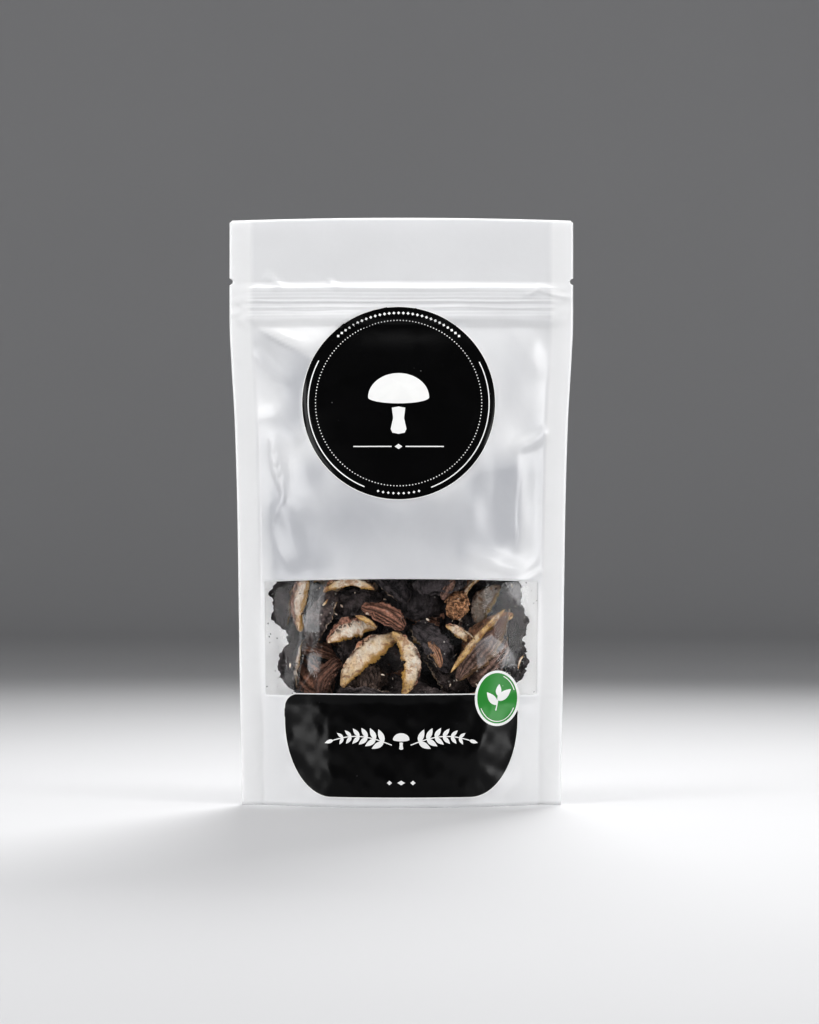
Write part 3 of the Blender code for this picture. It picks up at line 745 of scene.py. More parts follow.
def bump(tree, shader, height, strength, distance):
    node = add_node(tree, "ShaderNodeBump", {"Height": height, "Strength": strength, "Distance": distance})
    tree.links.new(node.outputs[0], shader.inputs["Normal"])


def white_film(name, through, depth):
    """Semi-gloss white laminate: brighter at the seals and with painted light, and painted shade from the
    slices behind it.
    """
    colours = bpy.context.scene.pouch_colours
    material, tree, shader, place = new_material(
        name, Roughness=0.36, Specular_IOR_Level=0.6, Subsurface_Weight=through, Subsurface_Scale=depth,
        Subsurface_Radius=(1.0, 1.0, 1.0), Coat_Weight=0.25, Coat_Roughness=0.16,
    )
    pull = crinkle(tree, place, 42.0, 0.10)
    tone = pull.outputs["Tone"]
    # Brighter at the seals, and painted light where the seal mask carries it
    body = blend_colour(tree, attribute(tree, "seal"), rgba(colours.film), rgba(colours.seal_band_and_painted_light))
    # Painted shade where the slices lie behind the film and below its folds
    shade_of_fill = scaled(tree, attribute(tree, "painted_fill_shade"), added(tree, 0.75, scaled(tree, tone, 0.25)))
    body = blend_colour(tree, shade_of_fill, body, rgba(colours.film_painted_shade))
    body = blend_colour(tree, scaled(tree, tone, 0.10), body, (0.93, 0.94, 0.96, 1.0))
    tree.links.new(body, shader.inputs["Base Color"])
    tree.links.new(added(tree, 0.30, scaled(tree, tone, 0.10)), shader.inputs["Roughness"])
    bump(tree, shader, pull.outputs["Height"], 0.35, 0.0006)
    return material


def clear_film():
    """Clear glossy film with a faint haze, and painted glare drawn as whitened scuffs."""
    material, tree, shader, place = new_material("clear_window_film", Roughness=0.12, IOR=3.0)
    pull = crinkle(tree, place, 55.0, 0.04)
    tone, painted_glare = pull.outputs["Tone"], attribute(tree, "painted_glare")
    # Painted glare, drawn as whitened scuffs: greyer, less clear and rougher film
    colour = blend_colour(tree, painted_glare, (0.02, 0.02, 0.022, 1.0), (0.50, 0.50, 0.52, 1.0))
    tree.links.new(colour, shader.inputs["Base Color"])
    cover = added(tree, scaled(tree, tone, 0.01), scaled(tree, painted_glare, 0.13))
    tree.links.new(added(tree, 0.025, cover), shader.inputs["Alpha"])
    rough = added(tree, 0.05, scaled(tree, tone, 0.05))
    tree.links.new(added(tree, rough, scaled(tree, painted_glare, 0.2)), shader.inputs["Roughness"])
    bump(tree, shader, pull.outputs["Height"], 0.35, 0.0006)
    return material


def zip_plastic():
    """Milky moulded strip with faint draw lines along its length."""
    material, tree, shader, place = new_material("milky_zip_strip", Roughness=0.34, Subsurface_Weight=0.2)
    stretched = add_node(tree, "ShaderNodeMapping", {"Vector": place, "Scale": (20.0, 900.0, 900.0)})
    lines = noise_value(tree, stretched.outputs[0], 1.0, 2.0)
    colour = blend_colour(tree, lines, (0.78, 0.80, 0.82, 1.0), (0.88, 0.89, 0.91, 1.0))
    tree.links.new(colour, shader.inputs["Base Color"])
    bump(tree, shader, lines, 0.3, 0.0002)
    return material


def label_gloss(name, colour, dust_colour, dust_share):
    """A printed glossy sticker with faint orange peel and dust specks."""
    material, tree, shader, place = new_material(name, Roughness=0.28, Specular_IOR_Level=0.17)
    peel = crinkle(tree, place, 90.0, 0.35)
    tone = peel.outputs["Tone"]
    dust = specks(tree, place, 420.0, 0.10, dust_share)
    lighter = [min(1.0, 1.15 * c + 0.001) for c in colour]
    base = blend_colour(tree, scaled(tree, tone, 0.35), rgba(colour), rgba(lighter))
    base = blend_colour(tree, scaled(tree, dust, 0.6), base, rgba(dust_colour))
    tree.links.new(base, shader.inputs["Base Color"])
    rough = added(tree, 0.15, scaled(tree, tone, 0.06))
    tree.links.new(added(tree, rough, scaled(tree, dust, 0.4)), shader.inputs["Roughness"])
    bump(tree, shader, peel.outputs["Height"], 0.08, 0.0003)
    return material


def fill_dried(tree, start, end):
    """Dried mushroom tissue: a fibrous height, its lumps and fibres, and its cracks."""
    place, scale = start.outputs["Place"], start.outputs["Scale"]
    lumps = noise_value(tree, place, scale, 6.0, 0.62, 0.8)
    fibres = noise_value(tree, start.outputs["Fibres"], 1.0, 4.0, 0.7)
    cracks = add_node(tree, "ShaderNodeTexVoronoi", {
        "Vector": place, "Scale": scaled(tree, scale, 1.6),
    }, feature="DISTANCE_TO_EDGE").outputs["Distance"]
    split = maths(tree, "SUBTRACT", 1.0, step_between(tree, cracks, 0.0, 0.22))
    height = added(tree, scaled(tree, lumps, 0.7), scaled(tree, fibres, 0.5))
    tree.links.new(maths(tree, "SUBTRACT", height, scaled(tree, split, 0.15)), end.inputs["Height"])
    tree.links.new(lumps, end.inputs["Mottle"])
    tree.links.new(fibres, end.inputs["Streak"])
    tree.links.new(split, end.inputs["Crack"])


def dried(tree, place, scale, stretch):
    """The dried tissue group, its fibres drawn out along the slice's own map."""
    group = shared_group(
        "dried_tissue",
        (("Place", "NodeSocketVector", None), ("Fibres", "NodeSocketVector", None),
         ("Scale", "NodeSocketFloat", 400.0)),
        (("Height", "NodeSocketFloat"), ("Mottle", "NodeSocketFloat"), ("Streak", "NodeSocketFloat"),
         ("Crack", "NodeSocketFloat")),
        fill_dried,
    )
    uv = add_node(tree, "ShaderNodeTexCoord").outputs["UV"]
    fibres = add_node(tree, "ShaderNodeMapping", {"Vector": uv, "Scale": stretch}).outputs[0]
    return use_group(tree, group, {"Place": place, "Fibres": fibres, "Scale": scale})


def slice_finish(name, skin, skin_fibres_and_painted_highlight, warm, sheen_rough, stretch):
    """A finish of the slices: its skin colours, with cut flesh and gills where the slice has them, painted
    highlights on the ridges and painted shade in the hollows.
    """
    colours = bpy.context.scene.pouch_colours
    material, tree, shader, place = new_material(name, Specular_IOR_Level=0.16)
    tissue = dried(tree, place, 420.0, stretch)
    mottle, streak, crack = (tissue.outputs[n] for n in ("Mottle", "Streak", "Crack"))
    grain = noise_value(tree, place, 1700.0, 2.0, 0.7)
    # Painted highlight on the ridges, mixed with the lighter fibres
    ridge = attribute(tree, "ridge")
    fibred = scaled(tree, step_between(tree, streak, 0.42, 0.60), 0.25)
    ridge_light_and_fibres = added(tree, scaled(tree, ridge, 0.75), fibred)
    dark = blend_colour(tree, ridge_light_and_fibres, rgba(skin), rgba(skin_fibres_and_painted_highlight))
    # The browner and greyer slices take the same painted highlight on their ridges
    warmed = blend_colour(tree, ridge_light_and_fibres, rgba(warm, 0.12), rgba(warm))
    greyed = blend_colour(tree, ridge_light_and_fibres, (0.030, 0.022, 0.021, 1.0), rgba(colours.grey))
    lean = attribute(tree, "warm")
    dark = blend_colour(tree, maths(tree, "MAXIMUM", lean, 0.0), dark, warmed)
    dark = blend_colour(tree, maths(tree, "MAXIMUM", scaled(tree, lean, -1.0), 0.0), dark, greyed)
    dark = blend_colour(tree, scaled(tree, crack, 0.35), dark, (0.006, 0.005, 0.005, 1.0))
    shade, gill = rgba(colours.flesh_shade), rgba(colours.gill)
    cream = blend_colour(tree, step_between(tree, mottle, 0.34, 0.52), shade, rgba(colours.flesh))
    veins = scaled(tree, step_between(tree, streak, 0.55, 0.68), 0.35)
    cream = blend_colour(tree, veins, cream, shade)
    # Painted shade in the hollows of the cut flesh
    hollow = scaled(tree, maths(tree, "SUBTRACT", 1.0, ridge), 0.30)
    cream = blend_colour(tree, hollow, cream, shade)
    gilt = blend_colour(tree, step_between(tree, mottle, 0.38, 0.54), (0.34, 0.155, 0.055, 1.0), gill)
    cream = blend_colour(tree, scaled(tree, attribute(tree, "tone"), 0.8), cream, gilt)
    pores = scaled(tree, step_between(tree, grain, 0.60, 0.68), 0.45)
    cream = blend_colour(tree, pores, cream, rgba(colours.flesh_shade, 0.35))
    gold = blend_colour(tree, step_between(tree, streak, 0.44, 0.55), rgba(colours.gill_shade), gill)
    scorch = scaled(tree, attribute(tree, "rim"), step_between(tree, mottle, 0.45, 0.53))
    cream = blend_colour(tree, scorch, cream, rgba(colours.rim))
    colour = blend_colour(tree, attribute(tree, "flesh"), dark, cream)
    colour = blend_colour(tree, attribute(tree, "gill"), colour, gold)
    dust = specks(tree, place, 560.0, 0.20, 0.16)
    colour = blend_colour(tree, scaled(tree, dust, 0.9), colour, (0.70, 0.66, 0.60, 1.0))
    tree.links.new(colour, shader.inputs["Base Color"])
    rough = added(tree, sheen_rough, scaled(tree, mottle, 0.35))
    rough = maths(tree, "MAXIMUM", rough, scaled(tree, attribute(tree, "flesh"), 0.85))
    tree.links.new(rough, shader.inputs["Roughness"])
    bump(tree, shader, added(tree, tissue.outputs["Height"], scaled(tree, grain, 0.35)), 1.0, 0.0009)
    return material


# Sizes and colours

class PouchSizes(bpy.types.PropertyGroup):
    film: FloatProperty(
        name="Film", description="Thickness of the film", default=0.3 * MM, min=0.1 * MM, max=0.5 * MM,
        subtype="DISTANCE", unit="LENGTH", precision=5,
    )
    film_step: FloatProperty(
        name="Film step", description="Spacing of the film's points", default=1.0 * MM, min=0.5 * MM,
        max=5 * MM, subtype="DISTANCE", unit="LENGTH", precision=5,
    )
    crease_depth: FloatProperty(
        name="Crease depth", description="How deep the film's creases are, 1 as in the photograph",
        default=1.0, min=0.0, max=1.5,
    )
    print_line: FloatProperty(
        name="Printed line", description="Width of the white lines on the labels", default=0.46 * MM,
        min=0.1 * MM, max=1 * MM, subtype="DISTANCE", unit="LENGTH", precision=5,
    )
    ring_dots: IntProperty(
        name="Ring dots", description="Dots in the round label's ring", default=166, min=12, max=400,
    )
    pile_count: IntProperty(
        name="Slices behind", description="Plain slices in the middle of the pile", default=170, min=0,
        max=400,
    )
    crumb_count: IntProperty(
        name="Crumbs", description="Broken bits among the slices", default=90, min=0, max=400,
    )
    pile_seed: IntProperty(name="Pile seed", description="Seed of the pile's places", default=7, min=0)


def colour_property(name, description, default):
    return FloatVectorProperty(
        name=name, description=description, default=default, size=3, min=0.0, max=1.0, subtype="COLOR",
    )


class PouchColours(bpy.types.PropertyGroup):
    film: colour_property("Film", "White laminate film", (0.82, 0.825, 0.84))
    # Sealed film; the same colour is the painted light on the white film
    seal_band_and_painted_light: colour_property("Seals", "Film where two layers are sealed", (0.985, 0.988, 0.995))
    # Painted shade: the film's colour where the slices lie behind it and below its folds
    film_painted_shade: colour_property("Film on slices", "Film that dark slices press on", (0.47, 0.48, 0.51))
    label: colour_property("Labels", "Black sticker print", (0.003, 0.003, 0.0032))
    ink: colour_property("White ink", "White print on the labels", (0.86, 0.86, 0.85))
    green: colour_property("Small seal", "Green sticker print", (0.035, 0.26, 0.045))
    skin: colour_property("Cap skin", "Dried skin of the caps", (0.0090, 0.0083, 0.0092))
    # Painted highlight on the ridges of the dark skin, and its lighter fibres
    skin_fibres_and_painted_highlight: colour_property("Cap skin, light", "Ridges of the dried skin", (0.125, 0.106, 0.110))
    # Painted highlight on the ridges of the browner and greyer slices, with a dark share of these colours in
    # their hollows
    skin_warm: colour_property("Cap skin, brown", "Skin of the browner caps", (0.30, 0.21, 0.17))
    grey: colour_property("Grey brown", "Ridges of the greyer slices", (0.40, 0.29, 0.25))
    brown: colour_property("Brown", "Dried gills and stems", (0.014, 0.009, 0.008))
    # Painted highlight on the ridges of dried gills and stems, with their stripes and lighter fibres; the
    # golden colour below is the painted highlight on the golden bits' ridges
    brown_fibres_and_painted_highlight: colour_property("Brown, light", "Ridges of dried gills and stems", (0.66, 0.34, 0.24))
    brown_warm: colour_property("Brown, golden", "Ridges of the golden bits", (0.98, 0.54, 0.30))
    flesh: colour_property("Flesh", "Cut dried flesh", (1.0, 0.925, 0.81))
    # Darker tone of the flesh's mottle and veins, and the painted shade in its hollows
    flesh_shade: colour_property("Flesh, shaded", "Hollows of the cut flesh", (0.72, 0.48, 0.32))
    rim: colour_property("Rim", "Flesh just under the skin", (0.080, 0.034, 0.020))
    gill: colour_property("Gills", "Edge of the gills on a cut face", (0.80, 0.49, 0.14))
    gill_shade: colour_property("Gills, shaded", "Between the gills", (0.13, 0.055, 0.018))


# Film pieces

def panel_columns(step):
    count = round(HALF_BODY / step)
    body = np.linspace(-HALF_BODY, HALF_BODY, 2 * count + 1)
    fin = np.linspace(HALF_BODY, HALF_WIDTH, 9)[1:]
    columns = np.concatenate((-fin[::-1], body, fin))
    edge = np.argmin(np.abs(columns - WINDOW_REACH))
    columns[edge] = WINDOW_REACH
    columns[len(columns) - 1 - edge] = -WINDOW_REACH
    return columns


def panel_rows(step):
    """Heights of the rows: closer at the zip and the tear notches, and on the window's two edges."""
    stretches = (
        (0, RIM, 4), (RIM, WINDOW_BOTTOM, (WINDOW_BOTTOM - RIM) / step),
        (WINDOW_BOTTOM, WINDOW_TOP, (WINDOW_TOP - WINDOW_BOTTOM) / step),
        (WINDOW_TOP, BODY_TOP, (BODY_TOP - WINDOW_TOP) / step), (BODY_TOP, 197 * MM, 48),
        (197 * MM, 200 * MM, 18), (200 * MM, PANEL_HEIGHT, 22 * MM / step / 1.2),
    )
    rows = [0.0]
    for low, high, count in stretches:
        rows += list(np.linspace(low, high, max(2, round(count)) + 1)[1:])
    return np.array(rows)


def panel_grid(columns, rows, front):
    """The flat places of a panel's grid, with the window's bowed top edge and the tear notches."""
    across, height = np.meshgrid(columns, rows)
    if front:
        bow = WINDOW_BOW * (1 - (across / WINDOW_REACH) ** 2).clip(0)
        rise = np.clip((height - WINDOW_BOTTOM) / (WINDOW_TOP - WINDOW_BOTTOM), 0, 1)
        fall = np.clip((BODY_TOP - height) / (BODY_TOP - WINDOW_TOP), 0, 1)
        height = height + bow * np.minimum(rise, fall)
    bite = np.sqrt((NOTCH_RADIUS**2 - (height - NOTCH_HEIGHT) ** 2).clip(0))
    fin = (np.abs(across) - HALF_BODY).clip(0) / (HALF_WIDTH - HALF_BODY)
    across = across - np.sign(across) * bite * fin
    past = (np.abs(across) - (HALF_WIDTH - CORNER)).clip(0) / CORNER
    drop = CORNER * (1 - np.sqrt((1 - past**2).clip(0)))
    height = height - drop * np.clip((height - (PANEL_HEIGHT - 3 * MM)) / (3 * MM), 0, 1)
    return across, height


def film_masks(mesh, across, height, front):
    """Where the film is sealed double, with painted light and highlights, and its painted shade from the
    slices and folds.
    """
    x = film_base(across, height, -1)[..., 0] / MM
    z = height / MM
    seal = smooth(np.abs(across), HALF_BODY - 0.4 * MM, HALF_BODY + 0.6 * MM)
    foot = foot_mark(across, z, 6.2, 7.0)
    # A painted highlight along the film's top edge
    top = smooth(z, 221.0, 221.5)
    wobble = 6 * waves(x, z, 26, 31)
    shade_of_fill = smooth(x + 0.15 * wobble, -51.5, -46.5) * (1 - smooth(x + 0.15 * wobble, 42.5, 47))
    shade_of_fill *= smooth(z, 60, 70) * (1 - smooth(z + wobble, 118, 138))
    # Painted shade where the slices lie behind the film
    painted_shade = 0.42 * shade_of_fill
    if front:
        for centre, reach, much in PAINTED_SHADE_PATCHES:
            painted_shade += much * bell(x, z, centre, reach) * np.maximum(shade_of_fill, 0.45)
        # Painted shade below the folds
        for form in FOLDS:
            painted_shade += fold(x, z, *form)[1]
        # A painted highlight along the window's top edge, carried in the seal mask
        edge = WINDOW_TOP / MM + WINDOW_BOW / MM * (1 - (across / WINDOW_REACH) ** 2)
        rim = (1 - smooth(z - edge, 0.3, 0.7)) * (z > 60) * (np.abs(across) < WINDOW_REACH)
        seal = np.clip(seal + rim, 0, 1)
        # The seals' own brightness, with painted light where the film stands clear of the fill
        bright = 0.9 * seal
        for centre, reach, much in PAINTED_LIGHT_PATCHES:
            bright += much * bell(x, z, centre, reach) * (1 - seal)
    else:
        painted_shade += shade_of_fill * (0.25 + 0.22 * waves(x, z, 22, 32))
        # Painted light on the back film beside the window, where the front film shades its inside
        beside = smooth(np.abs(x), 37, 48) * smooth(z, 18, 44) * (1 - smooth(z, 82, 112))
        painted_shade *= 1 - beside
        bright = np.maximum(0.9 * seal, beside)
    # Painted shade at the foot, below the window
    foot_shade = 0.05 * (1 - smooth(z, 38, 46)) * smooth(z, 0, 4)
    # The seals' own brightness, with the painted light and highlights
    add_attribute(mesh, "seal", np.clip(bright + 0.3 * foot + 0.25 * top, 0, 1))
    add_attribute(mesh, "painted_fill_shade", np.clip(painted_shade + foot_shade, 0, 1) * (1 - seal))


def film_sheet(name, points, faces, material, thickness, facing_out):
    """A sheet that is given its thickness towards the inside of the pouch."""
    mesh = mesh_of(name, points, faces if facing_out else [face[::-1] for face in faces])
    piece = new_piece(name, mesh, material)
    wall = piece.modifiers.new("film", "SOLIDIFY")
    wall.thickness = thickness
    wall.offset = -1
    return piece


class POUCH_OT_panels(bpy.types.Operator):
    """Adds the white front and back film with their creases"""

    bl_idname = "pouch.panels"
    bl_label = "White film"

    def execute(self, context):
        sizes = context.scene.pouch_sizes
        front_finish = white_film("white_laminate_film", 0.55, 0.9 * MM)
        back_finish = white_film("white_laminate_film_back", 1.0, 2.2 * MM)
        columns, rows = panel_columns(sizes.film_step), panel_rows(sizes.film_step)
        middles = (columns[:-1] + columns[1:]) / 2
        levels = (rows[:-1] + rows[1:]) / 2

        def outside_window(row, column):
            return abs(middles[column]) > WINDOW_REACH or not WINDOW_BOTTOM < levels[row] < WINDOW_TOP

        for name, side, relief, keep, node, finish in (
            ("front_film", -1, front_relief, outside_window, "front_panel", front_finish),
            ("back_film", 1, back_relief, None, "back_panel", back_finish),
        ):
            across, height = panel_grid(columns, rows, side < 0)
            points = film_place(across, height, side, relief(across, height, sizes.crease_depth))
            faces = grid_faces(len(rows), len(columns), keep)
            piece = film_sheet(name, points.reshape(-1, 3), faces, finish, sizes.film, side < 0)
            film_masks(piece.data, across, height, side < 0)
            change_mesh(piece.data, drop_loose_points)
            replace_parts(piece, node)
        return {"FINISHED"}


def drop_loose_points(shape):
    bmesh.ops.delete(shape, geom=[v for v in shape.verts if not v.link_faces], context="VERTS")


class POUCH_OT_window(bpy.types.Operator):
    """Adds the clear film of the window"""

    bl_idname = "pouch.window"
    bl_label = "Window film"

    def execute(self, context):
        sizes = context.scene.pouch_sizes
        step = sizes.film_step * 0.45
        reach = WINDOW_REACH - WINDOW_SLIT
        columns = np.linspace(-reach, reach, round(2 * reach / step))
        rows = np.linspace(WINDOW_BOTTOM + WINDOW_SLIT, WINDOW_TOP - WINDOW_SLIT, round(42 * MM / step))
        across, height = panel_grid(columns, rows, True)
        points = film_place(across, height, -1, front_relief(across, height, sizes.crease_depth))
        faces = grid_faces(len(rows), len(columns))
        piece = film_sheet(
            "window_clear_film", points.reshape(-1, 3), faces, clear_film(), sizes.film, True,
        )
        x, z = points[..., 0] / MM, points[..., 2] / MM
        # Painted glare on the clear film, drawn as whitened scuffs
        painted_glare = np.zeros_like(x)
        for corners, strength in PAINTED_GLARE_PATCHES:
            painted_glare = np.maximum(painted_glare, strength * inside_patch(x, z, corners))
        add_attribute(piece.data, "painted_glare", painted_glare * (0.75 + 0.25 * waves(x, z, 9, 51)).clip(0.4, 1))
        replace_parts(piece, "window_film")
        return {"FINISHED"}


def inside_patch(x, z, corners):
    """1 well inside a convex patch whose corners run clockwise, 0 outside."""
    cover = np.ones_like(x)
    for (ax, az), (bx, bz) in zip(corners, corners[1:] + corners[:1]):
        length = math.hypot(bx - ax, bz - az)
        inward = ((bz - az) * (x - ax) - (bx - ax) * (z - az)) / length
        cover = np.minimum(cover, smooth(inward, -0.25, 0.3))
    return cover


class POUCH_OT_gusset(bpy.types.Operator):
    """Adds the folded bottom film"""

    bl_idname = "pouch.gusset"
    bl_label = "Bottom gusset"

    def execute(self, context):
        sizes = context.scene.pouch_sizes
        reach = film_base(HALF_BODY - GUSSET_END, 0.0, -1)[0]
        x, turn = np.meshgrid(np.linspace(-reach, reach, 111), np.linspace(0, math.pi, 81))
        half = inner_depth(x, 0 * x) - CAD_GAP
        rise = np.sqrt(GUSSET_LEAF**2 - 1.9 * (half - CAD_FILM) ** 2) + CAD_FILM
        relief = waves(x / MM, turn * 25, 22, 41) * 0.35 * MM * np.sin(turn) ** 2
        fold = 0.5 * MM * np.exp(-(((turn - math.pi / 2) / 0.06) ** 2))
        points = np.stack((x, -half * np.cos(turn), (rise + fold - 0.5 * MM) * np.sin(turn) + relief), -1)
        faces = grid_faces(*x.shape)
        finish = white_film("white_laminate_film_gusset", 0.55, 0.9 * MM)
        piece = film_sheet(
            "gusset_film", points.reshape(-1, 3), faces, finish, sizes.film, True,
        )
        flat = np.zeros(points.shape[:2])
        add_attribute(piece.data, "seal", flat + 0.3)
        # Painted shade, strongest at the middle of the fold
        add_attribute(piece.data, "painted_fill_shade", flat + 0.45 * np.sin(turn))
        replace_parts(piece, "bottom_gusset")
        return {"FINISHED"}


class POUCH_OT_zip(bpy.types.Operator):
    """Gives the two zip tracks their milky plastic"""

    bl_idname = "pouch.zip"
    bl_label = "Zip tracks"

    def execute(self, context):
        finish = zip_plastic()
        for name in ("zip_track_front", "zip_track_back"):
            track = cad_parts[name]
            track.data.materials.clear()
            track.data.materials.append(finish)
        return {"FINISHED"}


# Labels

def closed_plate(name, x, z, low, high, wrap=False):
    """A thin plate over the front film: a grid of front-view places, and how far its two faces stand off."""
    top, bottom = (on_front(x, z, np.full(np.shape(x), out)).reshape(-1, 3) for out in (high, low))
    mesh = closed_shell(name, top, bottom, grid_faces(*np.shape(x), wrap=wrap))
    mesh.set_sharp_from_angle(angle=SHARP_EDGE)
    return mesh


def disc_plate(name, centre, radii, low, high, rings, sides):
    """A round or oval plate over the front film, closed at its middle."""
    steps = np.linspace(0.02, 1, rings)
    turns = np.linspace(0, 2 * math.pi, sides, endpoint=False)
    size, turn = np.meshgrid(steps, turns, indexing="ij")
    x = centre[0] + radii[0] * size * np.cos(turn)
    z = centre[1] + radii[1] * size * np.sin(turn)
    mesh = closed_plate(name, x[::-1], z[::-1], low, high, wrap=True)
    inner = (rings - 1) * sides
    total = rings * sides

    def close_middle(shape):
        hole_walls = [
            f for f in shape.faces
            if all(v.index % total >= inner for v in f.verts) and len({v.index // total for v in f.verts}) == 2
        ]
        bmesh.ops.delete(shape, geom=hole_walls, context="FACES_ONLY")
        bmesh.ops.holes_fill(shape, edges=[e for e in shape.edges if e.is_boundary], sides=0)
        face_outwards(shape)

    change_mesh(mesh, close_middle)
    mesh.set_sharp_from_angle(angle=SHARP_EDGE)
    return mesh


def close_seam(shape):
    """Joins the two ends of a closed line and drops the walls between them."""
    bmesh.ops.remove_doubles(shape, verts=shape.verts, dist=0.001 * MM)
    doubled = [
        f for f in shape.faces if all(len(e.link_faces) > 2 for e in f.edges) or f.calc_area() < 1e-14
    ]
    bmesh.ops.delete(shape, geom=doubled, context="FACES_ONLY")


def line_plate(name, path, width, low, high, closed=False):
    """A thin printed line along a path of front-view points."""
    path = np.asarray(path, float)
    if closed:
        way = np.roll(path, -1, 0) - np.roll(path, 1, 0)
    else:
        way = np.gradient(path, axis=0)
    way /= np.linalg.norm(way, axis=1, keepdims=True)
    side = np.stack((-way[:, 1], way[:, 0]), 1) * width / 2
    if closed:
        path, side = np.concatenate((path, path[:1])), np.concatenate((side, side[:1]))
    x = np.stack((path[:, 0] - side[:, 0], path[:, 0] + side[:, 0]))
    z = np.stack((path[:, 1] - side[:, 1], path[:, 1] + side[:, 1]))
    mesh = closed_plate(name, x, z, low, high)
    if closed:
        change_mesh(mesh, close_seam)
    change_mesh(mesh, face_outwards)
    return mesh


def shape_plate(name, outline, low, high, step=1.6 * MM):
    """A flat printed shape with any outline, cut finely enough to follow the film."""
    shape = bmesh.new()
    verts = [shape.verts.new((x, 0, z)) for x, z in outline]
    shape.faces.new(verts)
    bmesh.ops.triangulate(shape, faces=shape.faces)
    for _ in range(7):
        long = [e for e in shape.edges if e.calc_length() > step]
        if not long:
            break
        bmesh.ops.subdivide_edges(shape, edges=long, cuts=1)
        bmesh.ops.triangulate(shape, faces=shape.faces)
    lower = list(shape.verts)
    grown = bmesh.ops.extrude_face_region(shape, geom=list(shape.faces))
    upper = [v for v in grown["geom"] if isinstance(v, bmesh.types.BMVert)]
    for group, out in ((lower, low), (upper, high)):
        x = np.array([v.co.x for v in group])
        z = np.array([v.co.z for v in group])
        for vert, point in zip(group, on_front(x, z, np.full(len(x), out))):
            vert.co = point
    bmesh.ops.recalc_face_normals(shape, faces=shape.faces)
    mesh = bpy.data.meshes.new(name)
    shape.to_mesh(mesh)
    shape.free()
    mesh.shade_smooth()
    mesh.set_sharp_from_angle(angle=SHARP_EDGE)
    return mesh


def arc(centre, radii, start, end, count):
    """Front-view points of an oval arc, its angles in degrees."""
    turns = np.radians(np.linspace(start, end, count + 1))
    return np.stack((centre[0] + radii[0] * np.cos(turns), centre[1] + radii[1] * np.sin(turns)), 1)


def join_meshes(name, meshes):
    """One mesh of several."""
    shape = bmesh.new()
    for mesh in meshes:
        shape.from_mesh(mesh)
        bpy.data.meshes.remove(mesh)
    joined = bpy.data.meshes.new(name)
    shape.to_mesh(joined)
    shape.free()
    joined.shade_smooth()
    joined.set_sharp_from_angle(angle=SHARP_EDGE)
    return joined


def diamond_outline(middle, width, height):
    """A diamond's corners, from its half width and half height in millimetres."""
    return np.array(((width, 0), (0, height), (-width, 0), (0, -height))) * MM + middle


def leaf_outline(root, turn, length, width, count=12):
    """A pointed leaf from its root, its turn in degrees."""
    along = np.linspace(0, 1, count)
    half = width / 2 * np.sin(math.pi * along**0.8) ** 0.9
    upper = np.stack((along * length, half), 1)
    lower = np.stack((along * length, -half), 1)[-2:0:-1]
    points = np.concatenate((upper, lower))
    c, s = math.cos(math.radians(turn)), math.sin(math.radians(turn))
    return points @ np.array(((c, s), (-s, c))) + root


def mushroom_outlines(middle, size):
    """The cap and the stem of a plain mushroom figure, size being its width."""
    cap = np.concatenate((arc((0, 0), (0.5, 0.40), 0, 180, 28), arc((0, 0), (0.5, 0.10), 180, 360, 20)[1:-1]))
    left = [(-0.11, -0.17), (-0.09, -0.34), (-0.13, -0.52), (-0.10, -0.58)]
    stem = left + [(0.0, -0.60)] + [(-x, z) for x, z in reversed(left)] + [(0.0, -0.15)]
    return [np.array(points) * size + middle for points in (cap, stem)]


def bead_tree():
    """A node tree that sets flat beads along an arc in the XY plane."""
    tree = bpy.data.node_groups.get("beads_along_arc")
    if tree:
        return tree
    tree = bpy.data.node_groups.new("beads_along_arc", "GeometryNodeTree")
    number, angle = "NodeSocketFloat", "NodeSocketFloat"
    start, end = group_sockets(
        tree,
        (("Geometry", "NodeSocketGeometry", None), ("Arc Radius", number, 0.03), ("Start", angle, 0.0),
         ("Sweep", angle, 6.2), ("Count", "NodeSocketInt", 24), ("Bead Radius", number, 0.0003),
         ("Bead Sides", "NodeSocketInt", 10), ("Bead Depth", number, 0.00003),
         ("Ink", "NodeSocketMaterial", None)),
        (("Geometry", "NodeSocketGeometry"),),
    )
    given = start.outputs
    path = add_node(tree, "GeometryNodeCurveArc", {
        "Resolution": 256, "Radius": given["Arc Radius"], "Start Angle": given["Start"],
        "Sweep Angle": given["Sweep"],
    }, mode="RADIUS")
    places = add_node(tree, "GeometryNodeCurveToPoints", {"Curve": path.outputs[0], "Count": given["Count"]},
                      mode="COUNT")
    bead = add_node(tree, "GeometryNodeMeshCylinder", {
        "Vertices": given["Bead Sides"], "Radius": given["Bead Radius"], "Depth": given["Bead Depth"],
    }, fill_type="NGON")
    around = add_node(tree, "GeometryNodeInputPosition")
    split = add_node(tree, "ShaderNodeSeparateXYZ", {0: around.outputs[0]})
    facing = maths(tree, "ARCTAN2", split.outputs[1], split.outputs[0])
    turn = add_node(tree, "ShaderNodeCombineXYZ", {2: facing})
    beads = add_node(tree, "GeometryNodeInstanceOnPoints", {
        "Points": places.outputs[0], "Instance": bead.outputs[0], "Rotation": turn.outputs[0],
    })
    real = add_node(tree, "GeometryNodeRealizeInstances", {0: beads.outputs[0]})
    done = add_node(tree, "GeometryNodeSetMaterial", {0: real.outputs[0], "Material": given["Ink"]})
    tree.links.new(done.outputs[0], end.inputs[0])
    return tree


